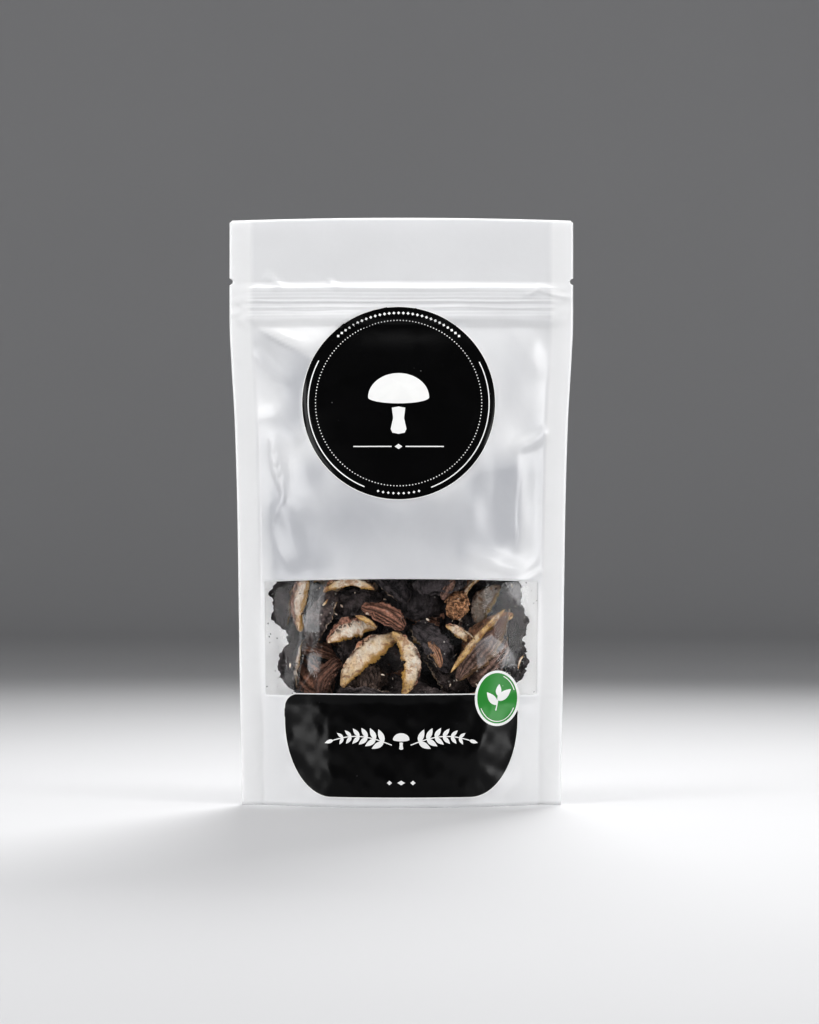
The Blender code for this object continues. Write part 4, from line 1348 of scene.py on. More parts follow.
def node_mesh(name, tree, values):
    """The mesh that a node tree makes, with its named inputs set."""
    holder = bpy.data.objects.new(name, bpy.data.meshes.new(name))
    bpy.context.scene.collection.objects.link(holder)
    modifier = holder.modifiers.new("nodes", "NODES")
    modifier.node_group = tree
    for item in tree.interface.items_tree:
        if item.item_type == "SOCKET" and item.in_out == "INPUT" and item.name in values:
            modifier[item.identifier] = values[item.name]
    holder.update_tag()
    bpy.context.view_layer.update()
    graph = bpy.context.evaluated_depsgraph_get()
    mesh = bpy.data.meshes.new_from_object(holder.evaluated_get(graph))
    bpy.data.objects.remove(holder)
    mesh.name = name
    return mesh


def bead_plates(name, centre, radius, start, sweep, count, bead, sides, out, ink):
    """A row of printed beads over the front film, along an arc of a label."""
    mesh = node_mesh(name, bead_tree(), {
        "Arc Radius": radius, "Start": math.radians(start), "Sweep": math.radians(sweep), "Count": count,
        "Bead Radius": bead, "Bead Sides": sides, "Bead Depth": PRINT_DEPTH, "Ink": ink,
    })
    flat = point_array(mesh)
    placed = on_front(centre[0] + flat[:, 0], centre[1] + flat[:, 1], out + flat[:, 2] + PRINT_DEPTH / 2)
    mesh.vertices.foreach_set("co", placed.astype(np.float32).ravel())
    change_mesh(mesh, face_outwards)
    return mesh


class POUCH_OT_round_label(bpy.types.Operator):
    """Adds the large round label with its rings and a mushroom figure"""

    bl_idname = "pouch.round_label"
    bl_label = "Round label"

    def execute(self, context):
        sizes, colours = context.scene.pouch_sizes, context.scene.pouch_colours
        black = label_gloss("black_sticker", colours.label, (0.20, 0.20, 0.20), 0.10)
        white = label_gloss("white_ink", colours.ink, (0.5, 0.5, 0.5), 0.0)
        face, over = LABEL_FACE, LABEL_FACE + PRINT_DEPTH
        disc = disc_plate("round_label_sticker", ROUND_CENTRE, (ROUND_RADIUS,) * 2, LABEL_BACK, face, 34, 180)
        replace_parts(new_piece("round_label_sticker", disc, black), "round_label")
        outline = arc(ROUND_CENTRE, (ROUND_RADIUS - 0.1 * MM,) * 2, 0, 358, 179)
        edge = line_plate("edge", outline, 0.30 * MM, 0.03 * MM, over, closed=True)
        new_piece("round_label_edge", join_meshes("round_label_edge", [edge]), white)
        ring = 34.1 * MM
        plates = [
            line_plate("arc", arc(ROUND_CENTRE, (ring, ring), start, end, 70), sizes.print_line, face, over)
            for start, end in ((152, 248), (-69, 27))
        ]
        for figure in mushroom_outlines(ROUND_CENTRE + (0, 2 * MM), 23 * MM):
            plates.append(shape_plate("figure", figure, face, over))
        middle = ROUND_CENTRE - (0, 16.5 * MM)
        for side in (-1, 1):
            ends = np.linspace(2.6 * MM, 17 * MM, 12) * side + middle[0]
            rule = np.stack((ends, ends * 0 + middle[1]), 1)
            plates.append(line_plate("rule", rule, sizes.print_line, face, over))
        plates.append(shape_plate("diamond", diamond_outline(middle, 1.5, 1.0), face, over))
        dots = sizes.ring_dots
        sweep = 360 * (dots - 1) / dots
        plates.append(bead_plates("dots", ROUND_CENTRE, 31.3 * MM, 0, sweep, dots, 0.25 * MM, 8, face, white))
        plates.append(bead_plates("lozenges", ROUND_CENTRE, ring, 48, 84, 29, 0.62 * MM, 4, face, white))
        plates.append(bead_plates("lozenges", ROUND_CENTRE, ring, -103, 26, 9, 0.55 * MM, 4, face, white))
        new_piece("round_label_print", join_meshes("round_label_print", plates), white)
        return {"FINISHED"}


def lower_label_half_width(z):
    """Half the lower label's width at each height: small corners at the top and long ones at the foot."""
    rise = np.clip((z - (LOWER_TOP - LOWER_CORNER)) / LOWER_CORNER, 0, 1)
    top = LOWER_HALF_WIDTH - LOWER_CORNER * (1 - np.sqrt(1 - rise**2))
    fall = np.clip((LOWER_BOTTOM + LOWER_FOOT[1] - z) / LOWER_FOOT[1], 0, 1)
    foot = LOWER_HALF_WIDTH - LOWER_FOOT[0] * (1 - np.sqrt(1 - fall**2))
    return np.minimum(top, foot)


def lower_label_outline():
    half, low, high = LOWER_HALF_WIDTH, LOWER_BOTTOM, LOWER_TOP
    foot = LOWER_FOOT
    return np.concatenate((
        arc((half - LOWER_CORNER, high - LOWER_CORNER), (LOWER_CORNER,) * 2, 90, 0, 8),
        arc((half - foot[0], low + foot[1]), foot, 0, -90, 28),
        np.stack((np.linspace(half - foot[0], foot[0] - half, 30)[1:-1], np.full(28, low)), 1),
        arc((foot[0] - half, low + foot[1]), foot, -90, -180, 28),
        arc((LOWER_CORNER - half, high - LOWER_CORNER), (LOWER_CORNER,) * 2, 180, 90, 8),
        np.stack((np.linspace(LOWER_CORNER - half, half - LOWER_CORNER, 42)[1:-1], np.full(40, high)), 1),
    ))


class POUCH_OT_lower_label(bpy.types.Operator):
    """Adds the lower label with its sprig ornament"""

    bl_idname = "pouch.lower_label"
    bl_label = "Lower label"

    def execute(self, context):
        sizes, colours = context.scene.pouch_sizes, context.scene.pouch_colours
        black = label_gloss("black_sticker_lower", colours.label, (0.20, 0.20, 0.20), 0.06)
        white = label_gloss("white_ink_lower", colours.ink, (0.5, 0.5, 0.5), 0.0)
        face, over = LABEL_FACE, LABEL_FACE + PRINT_DEPTH
        turn = np.linspace(0, math.pi, 61)
        levels = LOWER_BOTTOM + (LOWER_TOP - LOWER_BOTTOM) * (1 - np.cos(turn)) / 2
        share, z = np.meshgrid(np.linspace(-1, 1, 89), levels)
        x = share * lower_label_half_width(z)
        plate = closed_plate("lower_label_sticker", x, z, LABEL_BACK, face)
        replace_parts(new_piece("lower_label_sticker", plate, black), "lower_label")
        edge = line_plate("edge", lower_label_outline(), 0.42 * MM, 0.03 * MM, over, closed=True)
        new_piece("lower_label_edge", join_meshes("lower_label_edge", [edge]), white)
        plates = []
        for side in (-1, 1):
            along = np.linspace(0, 1, 30)
            stem = np.stack((side * (3.5 + 22 * along), 23.5 + 3.2 * np.sin(along * 2.6)), 1) * MM
            plates.append(line_plate("stem", stem, 0.42 * MM, face, over))
            for i in range(6):
                root = stem[4 + 4 * i]
                way = math.degrees(math.atan2(*(stem[5 + 4 * i] - stem[4 + 4 * i])[::-1]))
                size = (5.2 - 0.45 * i) * MM
                for lean in (48, -48):
                    leaf = leaf_outline(root, way + lean, size, size * 0.42)
                    plates.append(shape_plate("leaf", leaf, face, over))
            leaf = leaf_outline(stem[-1], 90 - side * 108, 3.4 * MM, 1.4 * MM)
            plates.append(shape_plate("leaf", leaf, face, over))
        for figure in mushroom_outlines(np.array((0, 25.5)) * MM, 6.2 * MM):
            plates.append(shape_plate("figure", figure, face, over))
        for side in (-1, 0, 1):
            diamond = diamond_outline((side * 4.4 * MM, 9.4 * MM), 1.0 if side else 1.5, 0.9)
            plates.append(shape_plate("diamond", diamond, face, over))
        new_piece("lower_label_print", join_meshes("lower_label_print", plates), white)
        return {"FINISHED"}


class POUCH_OT_small_seal(bpy.types.Operator):
    """Adds the small green seal with its two leaves"""

    bl_idname = "pouch.small_seal"
    bl_label = "Small seal"

    def execute(self, context):
        colours = context.scene.pouch_colours
        green = label_gloss("green_sticker", colours.green, (0.4, 0.6, 0.4), 0.05)
        white = label_gloss("white_ink_seal", colours.ink, (0.5, 0.5, 0.5), 0.0)
        face, over = SEAL_FACE, SEAL_FACE + PRINT_DEPTH
        disc = disc_plate("small_seal_sticker", SEAL_CENTRE, SEAL_RADII, SEAL_BACK, face, 12, 96)
        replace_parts(new_piece("small_seal_sticker", disc, green), "small_seal")
        rim = arc(SEAL_CENTRE, SEAL_RADII - 0.45 * MM, 0, 356, 89)
        plates = [line_plate("rim", rim, 0.95 * MM, 0.30 * MM, over, closed=True)]
        for start, end in ((205, 335), (20, 70)):
            line = arc(SEAL_CENTRE, SEAL_RADII - 1.7 * MM, start, end, 40)
            plates.append(line_plate("arc", line, 0.30 * MM, face, over))
        root = SEAL_CENTRE + np.array((-0.6, -4.6)) * MM
        bend = np.linspace(0, 1, 14)
        stem = root + np.stack((0.9 * np.sin(bend * 1.4), 5.4 * bend), 1) * MM
        plates.append(line_plate("stem", stem, 0.42 * MM, face, over))
        for turn, length, place in ((128, 6.2, 5), (40, 6.6, 9), (84, 4.6, 13)):
            leaf = leaf_outline(stem[place], turn, length * MM, length * 0.46 * MM)
            plates.append(shape_plate("leaf", leaf, face, over, 1.0 * MM))
        new_piece("small_seal_print", join_meshes("small_seal_print", plates), white)
        return {"FINISHED"}


# Slices

class SliceForm:
    """One slice's form, as the solids have it. Unturned, it lies along X with its skin to +Z."""

    def __init__(self, seed, kind, roll, yaw, spin, length, height, thickness):
        draw = random.Random(seed)
        self.kind = kind
        turn = (
            Matrix.Rotation(math.radians(yaw), 3, "Z")
            @ Matrix.Rotation(math.radians(-roll), 3, "Y")
            @ Matrix.Rotation(math.radians(spin), 3, "X")
        )
        self.turn = np.array([list(row) for row in turn])
        self.length, self.height, self.thickness = length * MM, height * MM, thickness * MM
        self.arc = math.radians(draw.uniform(55, 95))
        self.end = draw.uniform(0.45, 0.65)
        self.curl = draw.uniform(-0.05, 0.05) * self.length
        self.twist = math.radians(draw.uniform(-14, 14))
        self.phase = draw.uniform(0, 2 * math.pi)
        self.wave = draw.uniform(0.03, 0.07)

    def points(self, along, around, ragged=0.0, hollow=0.0, sharper=0.0):
        """Surface points, unturned and turned, with ragged gills, a hollow cut and sharper ends if asked."""
        taper = (1 - along**2).clip(0) ** (0.3 + sharper)
        flat = np.copysign(np.abs(np.cos(around)) ** 0.6, np.cos(around))
        tall = np.copysign(np.abs(np.sin(around)) ** 0.8, np.sin(around))
        deep = self.end + (1 - self.end) * (1 - along**2)
        ripple = 1 + self.wave * np.sin(5 * along + self.phase) * np.cos(2 * around)
        y = flat * self.thickness / 2 * taper * ripple * (1 - hollow * np.cos(around) ** 4)
        z = tall * self.height / 2 * taper * deep * ripple
        z = z * (1 + ragged * (z < 0))
        y = y + self.curl * (along**2 - 1 / 3)
        lean = self.twist * along
        y, z = y * np.cos(lean) - z * np.sin(lean), y * np.sin(lean) + z * np.cos(lean)
        radius = self.length / (2 * math.sin(self.arc / 2)) - self.height / 4
        bend = along * self.arc / 2
        local = np.stack(((radius + z) * np.sin(bend), y, (radius + z) * np.cos(bend) - radius), -1)
        return local, local @ self.turn.T

    def cad_box(self):
        """The corners of the coarse solid's box, before it is placed."""
        polar = np.linspace(0, math.pi, CAD_SLICE_RINGS + 1)
        turns = np.linspace(0, 2 * math.pi, CAD_SLICE_SIDES, endpoint=False)
        along, around = np.meshgrid(1 - polar / math.pi * 2, turns)
        points = self.points(along, around)[1].reshape(-1, 3)
        return points.min(0), points.max(0)


def fill_form(number, x):
    """A slice of the rest of the pile, as the solids have it, from its place across in millimetres."""
    draw = random.Random(FILL_SEED + number)
    kind = draw.choice(("skin", "skin", "brown", "flesh"))
    roll, lean = draw.uniform(-90, 90), draw.uniform(-8, 8)
    length = draw.uniform(19, 26)
    if kind == "flesh":
        spin, height, thickness = draw.uniform(-20, 20), draw.uniform(6.5, 8.5), 3.4
    else:
        spin, height, thickness = draw.uniform(70, 88), draw.uniform(4, 5), draw.uniform(9, 13)
    yaw = 32 * x / FILL_REACH + lean
    return SliceForm(FILL_SEED + number, kind, roll, yaw, spin, length, height, thickness)


def form_of(number):
    """The form of a numbered slice, found for the fill slices by the size of its solid."""
    if number <= len(SHOWN_SLICES):
        kind, _, _, *form = SHOWN_SLICES[number - 1]
        return SliceForm(number, kind, *form)
    low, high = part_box(f"shiitake_slice_{number:02d}")
    size = np.array(high - low)
    forms = [
        fill_form(number - len(SHOWN_SLICES) - 1, FILL_REACH * (2 * i / (FILL_ACROSS - 1) - 1))
        for i in range(FILL_ACROSS)
    ]
    return min(forms, key=lambda form: np.abs(np.ptp(form.cad_box(), axis=0) - size).sum())


def noise_at(points, scale, seed, kind="fractal"):
    """Uneven values at points: soft ones, or folds with sharp hollows."""
    shift = Vector((seed * 7.31, seed * 3.17, seed * 5.53))
    if kind == "fractal":
        return np.array([noise.fractal(Vector(p) * scale + shift, 0.9, 2.0, 3) for p in points])
    return np.array([1 - 2 * abs(noise.noise(Vector(p) * scale + shift)) for p in points])


def slice_mesh(number, form, name, shift, warm, rings=78, sides=56):
    """A fine mesh of a slice: wrinkled skin, a hollow cut face and a ragged gill edge."""
    polar = np.linspace(0, math.pi, rings + 1)[1:-1]
    turns = np.linspace(0, 2 * math.pi, sides, endpoint=False)
    around, along = np.meshgrid(turns, 1 - polar / math.pi * 2)
    count = along.size
    tips_along = np.concatenate((along.ravel(), (1.0, -1.0)))
    tips_around = np.concatenate((around.ravel(), (0.0, 0.0)))
    sample = np.stack((tips_along * form.length / MM * 0.3, np.sin(tips_around) * 0.6, 0 * tips_along), 1)
    ragged = 0.26 * noise_at(sample, 1.0, number) + 0.14 * noise_at(sample, 3.1, number + 60)
    cut = form.kind == "flesh"
    loose = number > LOOSE_FROM
    local = form.points(tips_along, tips_around, ragged, 0.22 if cut else 0.10, 0.16)[0]
    sample[:, 1] = np.sign(np.cos(tips_around))
    edge = 0.20 * noise_at(sample, 0.9, number + 7) + 0.14 * noise_at(sample, 2.6, number + 67)
    edge += 0.09 * noise_at(sample, 6.5, number + 77)
    local[:, 1] *= 1 + edge * np.abs(np.cos(tips_around)) * (0.5 if cut and not loose else 1.0)
    turned = local @ form.turn.T
    upward = np.sin(tips_around)
    patch = noise_at(local / MM, 0.30, number + 20)
    if cut:
        band = BARK_BANDS.get(number, 0.80)
        skin = smooth(upward + 0.16 * patch, band, band + 0.12)
        rim = smooth(upward + 0.30 * patch, band - 0.45, band + 0.05)
        gill = smooth(-upward + 0.35 * patch, 0.35, 0.90)
    else:
        skin = smooth(upward + 0.20 * patch, -0.15, 0.25)
        rim = smooth(upward + 0.30 * patch, -0.5, 0.1)
        gill = smooth(-upward + 0.30 * patch, 0.35, 0.80)
    flesh = 1 - skin
    if form.kind == "brown":
        flesh = flesh * 0.06
        gill = gill * 0.25
    round_the_slice = np.stack((np.cos(tips_around), np.sin(tips_around)), 1)
    lengthwise = np.column_stack((round_the_slice * 1.7, tips_along * form.length / MM * 0.055))
    furrows = noise_at(lengthwise, 1.0, number + 30, "fold")
    ribs = noise_at(lengthwise, 2.6, number + 35, "fold")
    folds = noise_at(local / MM, 0.45, number + 40, "fold")
    coarse = noise_at(local / MM, 0.16, number + 80)
    small = noise_at(local / MM, 1.5, number + 90)
    lines = np.sin(local[:, 0] / MM * 7.0 + 2.0 * coarse) * gill
    lift = 0.70 * coarse + 0.16 * small + 0.12 * lines
    lift += skin * (0.85 * furrows + 0.45 * folds + 0.25 * ribs - 0.7)
    # How much painted highlight each point takes: on the crests of wrinkles, crumples and gill stripes; the
    # cut flesh takes painted shade where it is low
    if number in CRUMPLED_SLICES:
        crumple = noise_at(local / MM, 0.9, number + 55, "fold")
        lift += 0.6 * crumple + 0.3 * small - 0.4
        ridge = smooth(crumple + 0.6 * small, 0.35, 1.05)
    elif form.kind == "brown":
        stripes = np.cos(tips_around * BROWN_STRIPES + 3.0 * noise_at(lengthwise, 0.8, number + 50))
        lift += 0.50 * furrows + 0.24 * ribs + 0.20 * stripes - 0.4
        ridge = smooth(stripes + 0.5 * ribs + 0.5 * small, -0.4, 1.2)
    elif cut:
        ridge = smooth(small + 0.8 * folds, -0.2, 0.9)
    else:
        ridge = smooth(0.5 * furrows + 0.4 * folds + 0.5 * ribs + 0.3 * small, 0.45, 1.15)
    ridge = ridge * DIM_SLICES.get(number, 1.0)
    lift = lift * MM * min(1.0, form.height / (4 * MM)) * (0.55 if loose else 1.0)
    shape = bmesh.new()
    verts = [shape.verts.new(p) for p in turned]
    rows = rings - 1
    for row in range(rows - 1):
        for column in range(sides):
            after = (column + 1) % sides
            shape.faces.new((verts[row * sides + column], verts[(row + 1) * sides + column],
                             verts[(row + 1) * sides + after], verts[row * sides + after]))
    for column in range(sides):
        after = (column + 1) % sides
        shape.faces.new((verts[count], verts[column], verts[after]))
        last = (rows - 1) * sides
        shape.faces.new((verts[count + 1], verts[last + after], verts[last + column]))
    if shape.calc_volume(signed=True) < 0:
        bmesh.ops.reverse_faces(shape, faces=shape.faces)
    shape.normal_update()
    ends = (1 - tips_along**2).clip(0) ** 0.25
    for vert, rise, keep in zip(shape.verts, lift, ends):
        vert.co = vert.co + vert.normal * rise * (0.35 + 0.65 * keep)
    trim = TRIMMED_SLICES.get(number, 1.0)
    right = max(vert.co.x for vert in shape.verts)
    for vert in shape.verts:
        vert.co.x = right + (vert.co.x - right) * trim
        vert.co = vert.co + Vector(shift)
    uv = shape.loops.layers.uv.new("UVMap")
    for face in shape.faces:
        past_seam = any(tips_around[vert.index] > 4 for vert in face.verts)
        for loop in face.loops:
            index = loop.vert.index
            turn = tips_around[index]
            if past_seam and turn < 1:
                turn += 2 * math.pi
            loop[uv].uv = (turn / (2 * math.pi), tips_along[index] / 2 + 0.5)
    mesh = bpy.data.meshes.new(name)
    shape.to_mesh(mesh)
    shape.free()
    mesh.shade_smooth()
    draw = random.Random(900 + number)
    if cut:
        flesh = flesh * (1 + 0.6 * min(0, warm))
        gilding = draw.uniform(-0.2, 0.4) + max(0, warm)
    else:
        gilding = 0.0
    add_attribute(mesh, "flesh", np.clip(flesh - gill, 0, 1))
    add_attribute(mesh, "gill", gill)
    add_attribute(mesh, "rim", rim)
    # The painted highlight on the ridges, and the painted shade of the flesh's hollows
    add_attribute(mesh, "ridge", ridge)
    add_attribute(mesh, "warm", 0 * tips_along + warm)
    ends_and_foot = 1.5 * (np.abs(tips_along) - 0.35).clip(0) + 0.7 * smooth(-upward, 0.1, 0.8)
    add_attribute(mesh, "tone", np.clip(gilding + ends_and_foot + 0.5 * patch, 0, 1))
    return mesh


def shift_to_solid(form, node):
    """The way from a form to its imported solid."""
    low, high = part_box(node)
    cad_low, cad_high = form.cad_box()
    return (np.array(low) + np.array(high) - cad_low - cad_high) / 2


class POUCH_OT_slices(bpy.types.Operator):
    """Adds the dried slices, each over its solid"""

    bl_idname = "pouch.slices"
    bl_label = "Slices"

    def execute(self, context):
        colours = context.scene.pouch_colours
        skins = colours.skin, colours.skin_fibres_and_painted_highlight, colours.skin_warm
        browns = colours.brown, colours.brown_fibres_and_painted_highlight, colours.brown_warm
        finishes = {
            "skin": slice_finish("dried_cap_skin", *skins, 0.34, (16.0, 5.0, 1.0)),
            "brown": slice_finish("dried_brown_gills", *browns, 0.5, (26.0, 4.0, 1.0)),
            "flesh": slice_finish("dried_cut_flesh", *browns, 0.5, (7.0, 34.0, 1.0)),
        }
        for number in range(1, len(SHOWN_SLICES) + FILL_COUNT + 1):
            node = f"shiitake_slice_{number:02d}"
            form = form_of(number)
            shown = number <= len(SHOWN_SLICES)
            warm = WARM_SLICES.get(number, 0.0 if shown else random.Random(number).uniform(0, 0.3))
            mesh = slice_mesh(number, form, node, shift_to_solid(form, node), warm)
            piece = new_piece(f"dried_slice_{number:02d}", mesh, finishes[form.kind])
            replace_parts(piece, node)
        for index, (over, kind, x, z, warm, bend, *values) in enumerate(LOOSE_BITS, 1):
            form = SliceForm(LOOSE_FROM + index, kind, *values)
            form.arc = math.radians(bend)
            low, high = form.cad_box()
            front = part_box(f"shiitake_slice_{over:02d}")[0][1]
            shift = np.array((x * MM, front - 0.2 * MM, z * MM)) - (low + high) / 2
            name = f"loose_bit_{index:02d}"
            mesh = slice_mesh(LOOSE_FROM + index, form, name, shift, warm, 52, 36)
            keep_in_pouch(mesh)
            new_piece(name, mesh, finishes[kind])
        return {"FINISHED"}


def pile_bed_and_shade():
    """A lumpy dark mass behind the slices that can be told apart, standing for packed slices and the deep
    shade between them.
    """
    share, z = np.meshgrid(np.linspace(0, 1, 230), np.linspace(38, 88, 130))
    sides = []
    for outline, seed in ((PILE_LEFT, 61), (PILE_RIGHT, 62)):
        heights, places = np.array(outline[::-1]).T
        level = np.stack((z[:, 0], 0 * z[:, 0], 0 * z[:, 0]), 1)
        ragged = 1.1 * noise_at(level, 0.45, seed) + 0.5 * noise_at(level, 1.6, seed + 5)
        sides.append(np.interp(z, heights, places) + ragged[:, None])
    x = sides[0] + (sides[1] - sides[0]) * share
    room = (inner_depth(x * MM, z * MM) / MM - 1.0).clip(0.5)
    flat = np.stack((x.ravel(), z.ravel(), 0 * x.ravel()), 1)
    lumps = noise_at(flat, 0.16, 71, "fold") * 0.7 + noise_at(flat, 0.38, 72, "fold") * 0.3
    lumps += 0.18 * noise_at(flat, 1.1, 73)
    lumps = lumps.reshape(x.shape)
    near = room * (0.42 - 0.30 * lumps).clip(0.05, 0.8)
    meet = np.minimum(1, np.minimum(share, 1 - share) / 0.03) ** 0.5
    near = room * 0.5 + (near - room * 0.5) * meet
    far = np.maximum(near + 0.2, room * (0.5 + 0.4 * meet))
    front = np.stack((x, near, z), -1).reshape(-1, 3) * MM
    back = np.stack((x, far, z), -1).reshape(-1, 3) * MM
    mesh = closed_shell("pile_bed_and_shade", front, back, grid_faces(*x.shape))
    # Painted highlight on the bed's wrinkles
    wrinkled = smooth(lumps.ravel() + 0.5 * noise_at(flat, 0.9, 74, "fold"), 0.5, 1.3)
    add_attribute(mesh, "ridge", 0.7 * np.concatenate((wrinkled, wrinkled)))
    return mesh


def pile_tree():
    """A node tree that scatters bent, uneven bits through a box."""
    tree = bpy.data.node_groups.get("scattered_bits")
    if tree:
        return tree
    tree = bpy.data.node_groups.new("scattered_bits", "GeometryNodeTree")
    start, end = group_sockets(
        tree,
        (("Geometry", "NodeSocketGeometry", None), ("Count", "NodeSocketInt", 100),
         ("Seed", "NodeSocketInt", 7), ("Low", "NodeSocketVector", (-0.04, -0.006, 0.042)),
         ("High", "NodeSocketVector", (0.04, 0.01, 0.084)),
         ("Bit Size", "NodeSocketVector", (0.011, 0.004, 0.002)), ("Bend", "NodeSocketFloat", 30.0),
         ("Smallest", "NodeSocketFloat", 0.5), ("Largest", "NodeSocketFloat", 1.1),
         ("Roughness", "NodeSocketFloat", 0.002), ("Grain", "NodeSocketFloat", 300.0),
         ("Pale Share", "NodeSocketFloat", 0.0), ("Finish", "NodeSocketMaterial", None)),
        (("Geometry", "NodeSocketGeometry"),),
    )
    given = start.outputs
    where = add_node(tree, "FunctionNodeRandomValue", {
        "Min": given["Low"], "Max": given["High"], "Seed": given["Seed"],
    }, data_type="FLOAT_VECTOR")
    points = add_node(tree, "GeometryNodePoints", {"Count": given["Count"], "Position": where.outputs[0]})
    ball = add_node(tree, "GeometryNodeMeshUVSphere", {"Segments": 14, "Rings": 9, "Radius": 1.0})
    place = add_node(tree, "GeometryNodeInputPosition")
    sized = add_node(tree, "ShaderNodeVectorMath", {
        0: place.outputs[0], 1: given["Bit Size"],
    }, operation="MULTIPLY")
    parts = add_node(tree, "ShaderNodeSeparateXYZ", {0: sized.outputs[0]})
    sag = scaled(tree, scaled(tree, parts.outputs[0], parts.outputs[0]), given["Bend"])
    bent = add_node(tree, "ShaderNodeCombineXYZ", {
        0: parts.outputs[0], 1: parts.outputs[1], 2: maths(tree, "SUBTRACT", parts.outputs[2], sag),
    })
    bit = add_node(tree, "GeometryNodeSetPosition", {0: ball.outputs[0], "Position": bent.outputs[0]})
    turn = add_node(tree, "FunctionNodeRandomValue", {
        "Min": (-3.1, -3.1, -3.1), "Max": (3.1, 3.1, 3.1), "Seed": maths(tree, "ADD", given["Seed"], 1.0),
    }, data_type="FLOAT_VECTOR")
    size = add_node(tree, "FunctionNodeRandomValue", {
        2: given["Smallest"], 3: given["Largest"], "Seed": maths(tree, "ADD", given["Seed"], 2.0),
    }, data_type="FLOAT")
    bits = add_node(tree, "GeometryNodeInstanceOnPoints", {
        "Points": points.outputs[0], "Instance": bit.outputs[0], "Rotation": turn.outputs[0],
        "Scale": size.outputs[1],
    })
    draw = add_node(tree, "FunctionNodeRandomValue", {
        2: 0.0, 3: 1.0, "Seed": maths(tree, "ADD", given["Seed"], 3.0),
    }, data_type="FLOAT")
    pale = maths(tree, "LESS_THAN", draw.outputs[1], given["Pale Share"])
    kept = add_node(tree, "GeometryNodeStoreNamedAttribute", {
        0: bits.outputs[0], "Name": "flesh", "Value": pale,
    }, domain="INSTANCE", data_type="FLOAT")
    real = add_node(tree, "GeometryNodeRealizeInstances", {0: kept.outputs[0]})
    spot = add_node(tree, "GeometryNodeInputPosition")
    rough = noise_value(tree, spot.outputs[0], given["Grain"], 2.0)
    lift = scaled(tree, maths(tree, "SUBTRACT", rough, 0.5), given["Roughness"])
    push = add_node(tree, "ShaderNodeVectorMath", {
        0: add_node(tree, "GeometryNodeInputNormal").outputs[0], "Scale": lift,
    }, operation="SCALE")
    uneven = add_node(tree, "GeometryNodeSetPosition", {0: real.outputs[0], "Offset": push.outputs[0]})
    soft = add_node(tree, "GeometryNodeSetShadeSmooth", {0: uneven.outputs[0]})
    done = add_node(tree, "GeometryNodeSetMaterial", {0: soft.outputs[0], "Material": given["Finish"]})
    tree.links.new(done.outputs[0], end.inputs[0])
    return tree


def keep_in_pouch(mesh):
    """Presses a mesh's points in between the panels and above the gusset."""
    points = point_array(mesh)
    limit = (inner_depth(points[:, 0], points[:, 2]) - FILL_CLEAR).clip(0.1 * MM)
    points[:, 1] = np.clip(points[:, 1], -limit, limit)
    half = (inner_depth(points[:, 0], 0 * points[:, 0]) - CAD_GAP).clip(0.2 * MM)
    rise = np.sqrt((GUSSET_LEAF**2 - 1.9 * half**2).clip(0)) + CAD_FILM + FILL_CLEAR
    floor = rise * np.sqrt((1 - (points[:, 1] / half) ** 2).clip(0))
    points[:, 2] = np.maximum(points[:, 2], floor)
    mesh.vertices.foreach_set("co", points.astype(np.float32).ravel())
    mesh.update()


class POUCH_OT_pile(bpy.types.Operator):
    """Adds the plain slices behind the others, and the crumbs among them"""

    bl_idname = "pouch.pile"
    bl_label = "Pile and crumbs"

    def execute(self, context):
        sizes = context.scene.pouch_sizes
        skin, flesh = bpy.data.materials["dried_cap_skin"], bpy.data.materials["dried_cut_flesh"]
        for name, slot, finish, values in (
            ("pile_behind", "shiitake_skin", skin, {
                "Count": sizes.pile_count, "Seed": sizes.pile_seed, "Low": (-38 * MM, 1 * MM, 41 * MM),
                "High": (38 * MM, 10 * MM, 85 * MM), "Bit Size": (8 * MM, 3.6 * MM, 1.5 * MM), "Bend": 34.0,
                "Smallest": 0.4, "Largest": 1.0, "Roughness": 3.0 * MM, "Grain": 320.0, "Pale Share": 0.0,
            }),
            ("pile_crumbs", "shiitake_flesh", flesh, {
                "Count": sizes.crumb_count, "Seed": sizes.pile_seed + 20,
                "Low": (-42 * MM, -14 * MM, 41 * MM), "High": (42 * MM, 0, 84 * MM),
                "Bit Size": (0.9 * MM, 0.4 * MM, 0.3 * MM), "Bend": 160.0,
                "Smallest": 0.3, "Largest": 1.2, "Roughness": 0.5 * MM, "Grain": 900.0, "Pale Share": 0.5,
            }),
            ("pile_dust", "shiitake_brown", skin, {
                "Count": sizes.crumb_count * 3, "Seed": sizes.pile_seed + 40,
                "Low": (-52 * MM, -14 * MM, 42 * MM), "High": (52 * MM, 2 * MM, 84 * MM),
                "Bit Size": (0.22 * MM, 0.16 * MM, 0.12 * MM), "Bend": 0.0,
                "Smallest": 0.5, "Largest": 1.5, "Roughness": 0.1 * MM, "Grain": 2000.0, "Pale Share": 0.0,
            }),
        ):
            mesh = node_mesh(name, pile_tree(), values | {"Finish": finish})
            keep_in_pouch(mesh)
            new_piece(name, mesh, finish)
        # The dark bed stands for the packed slices and the deep shade between them
        bed = pile_bed_and_shade()
        keep_in_pouch(bed)
        new_piece("pile_bed_and_shade", bed, skin)
        return {"FINISHED"}


# Stage

def aim(obj, place, target):
    obj.location = place
    obj.rotation_euler = (Vector(target) - Vector(place)).to_track_quat("-Z", "Y").to_euler()


def soft_light(name, place, size, power, spread=180):
    """A softbox that faces the pouch. A spread under 180 degrees keeps its light off the floor around."""
    light = bpy.data.lights.new(name, "AREA")
    light.shape = "RECTANGLE"
    light.size, light.size_y = size
    light.energy = power
    light.spread = math.radians(spread)
    lamp = bpy.data.objects.new(name, light)
    bpy.context.scene.collection.objects.link(lamp)
    aim(lamp, place, (0, 0, 0.11))
    lamp.visible_camera = False
    return lamp


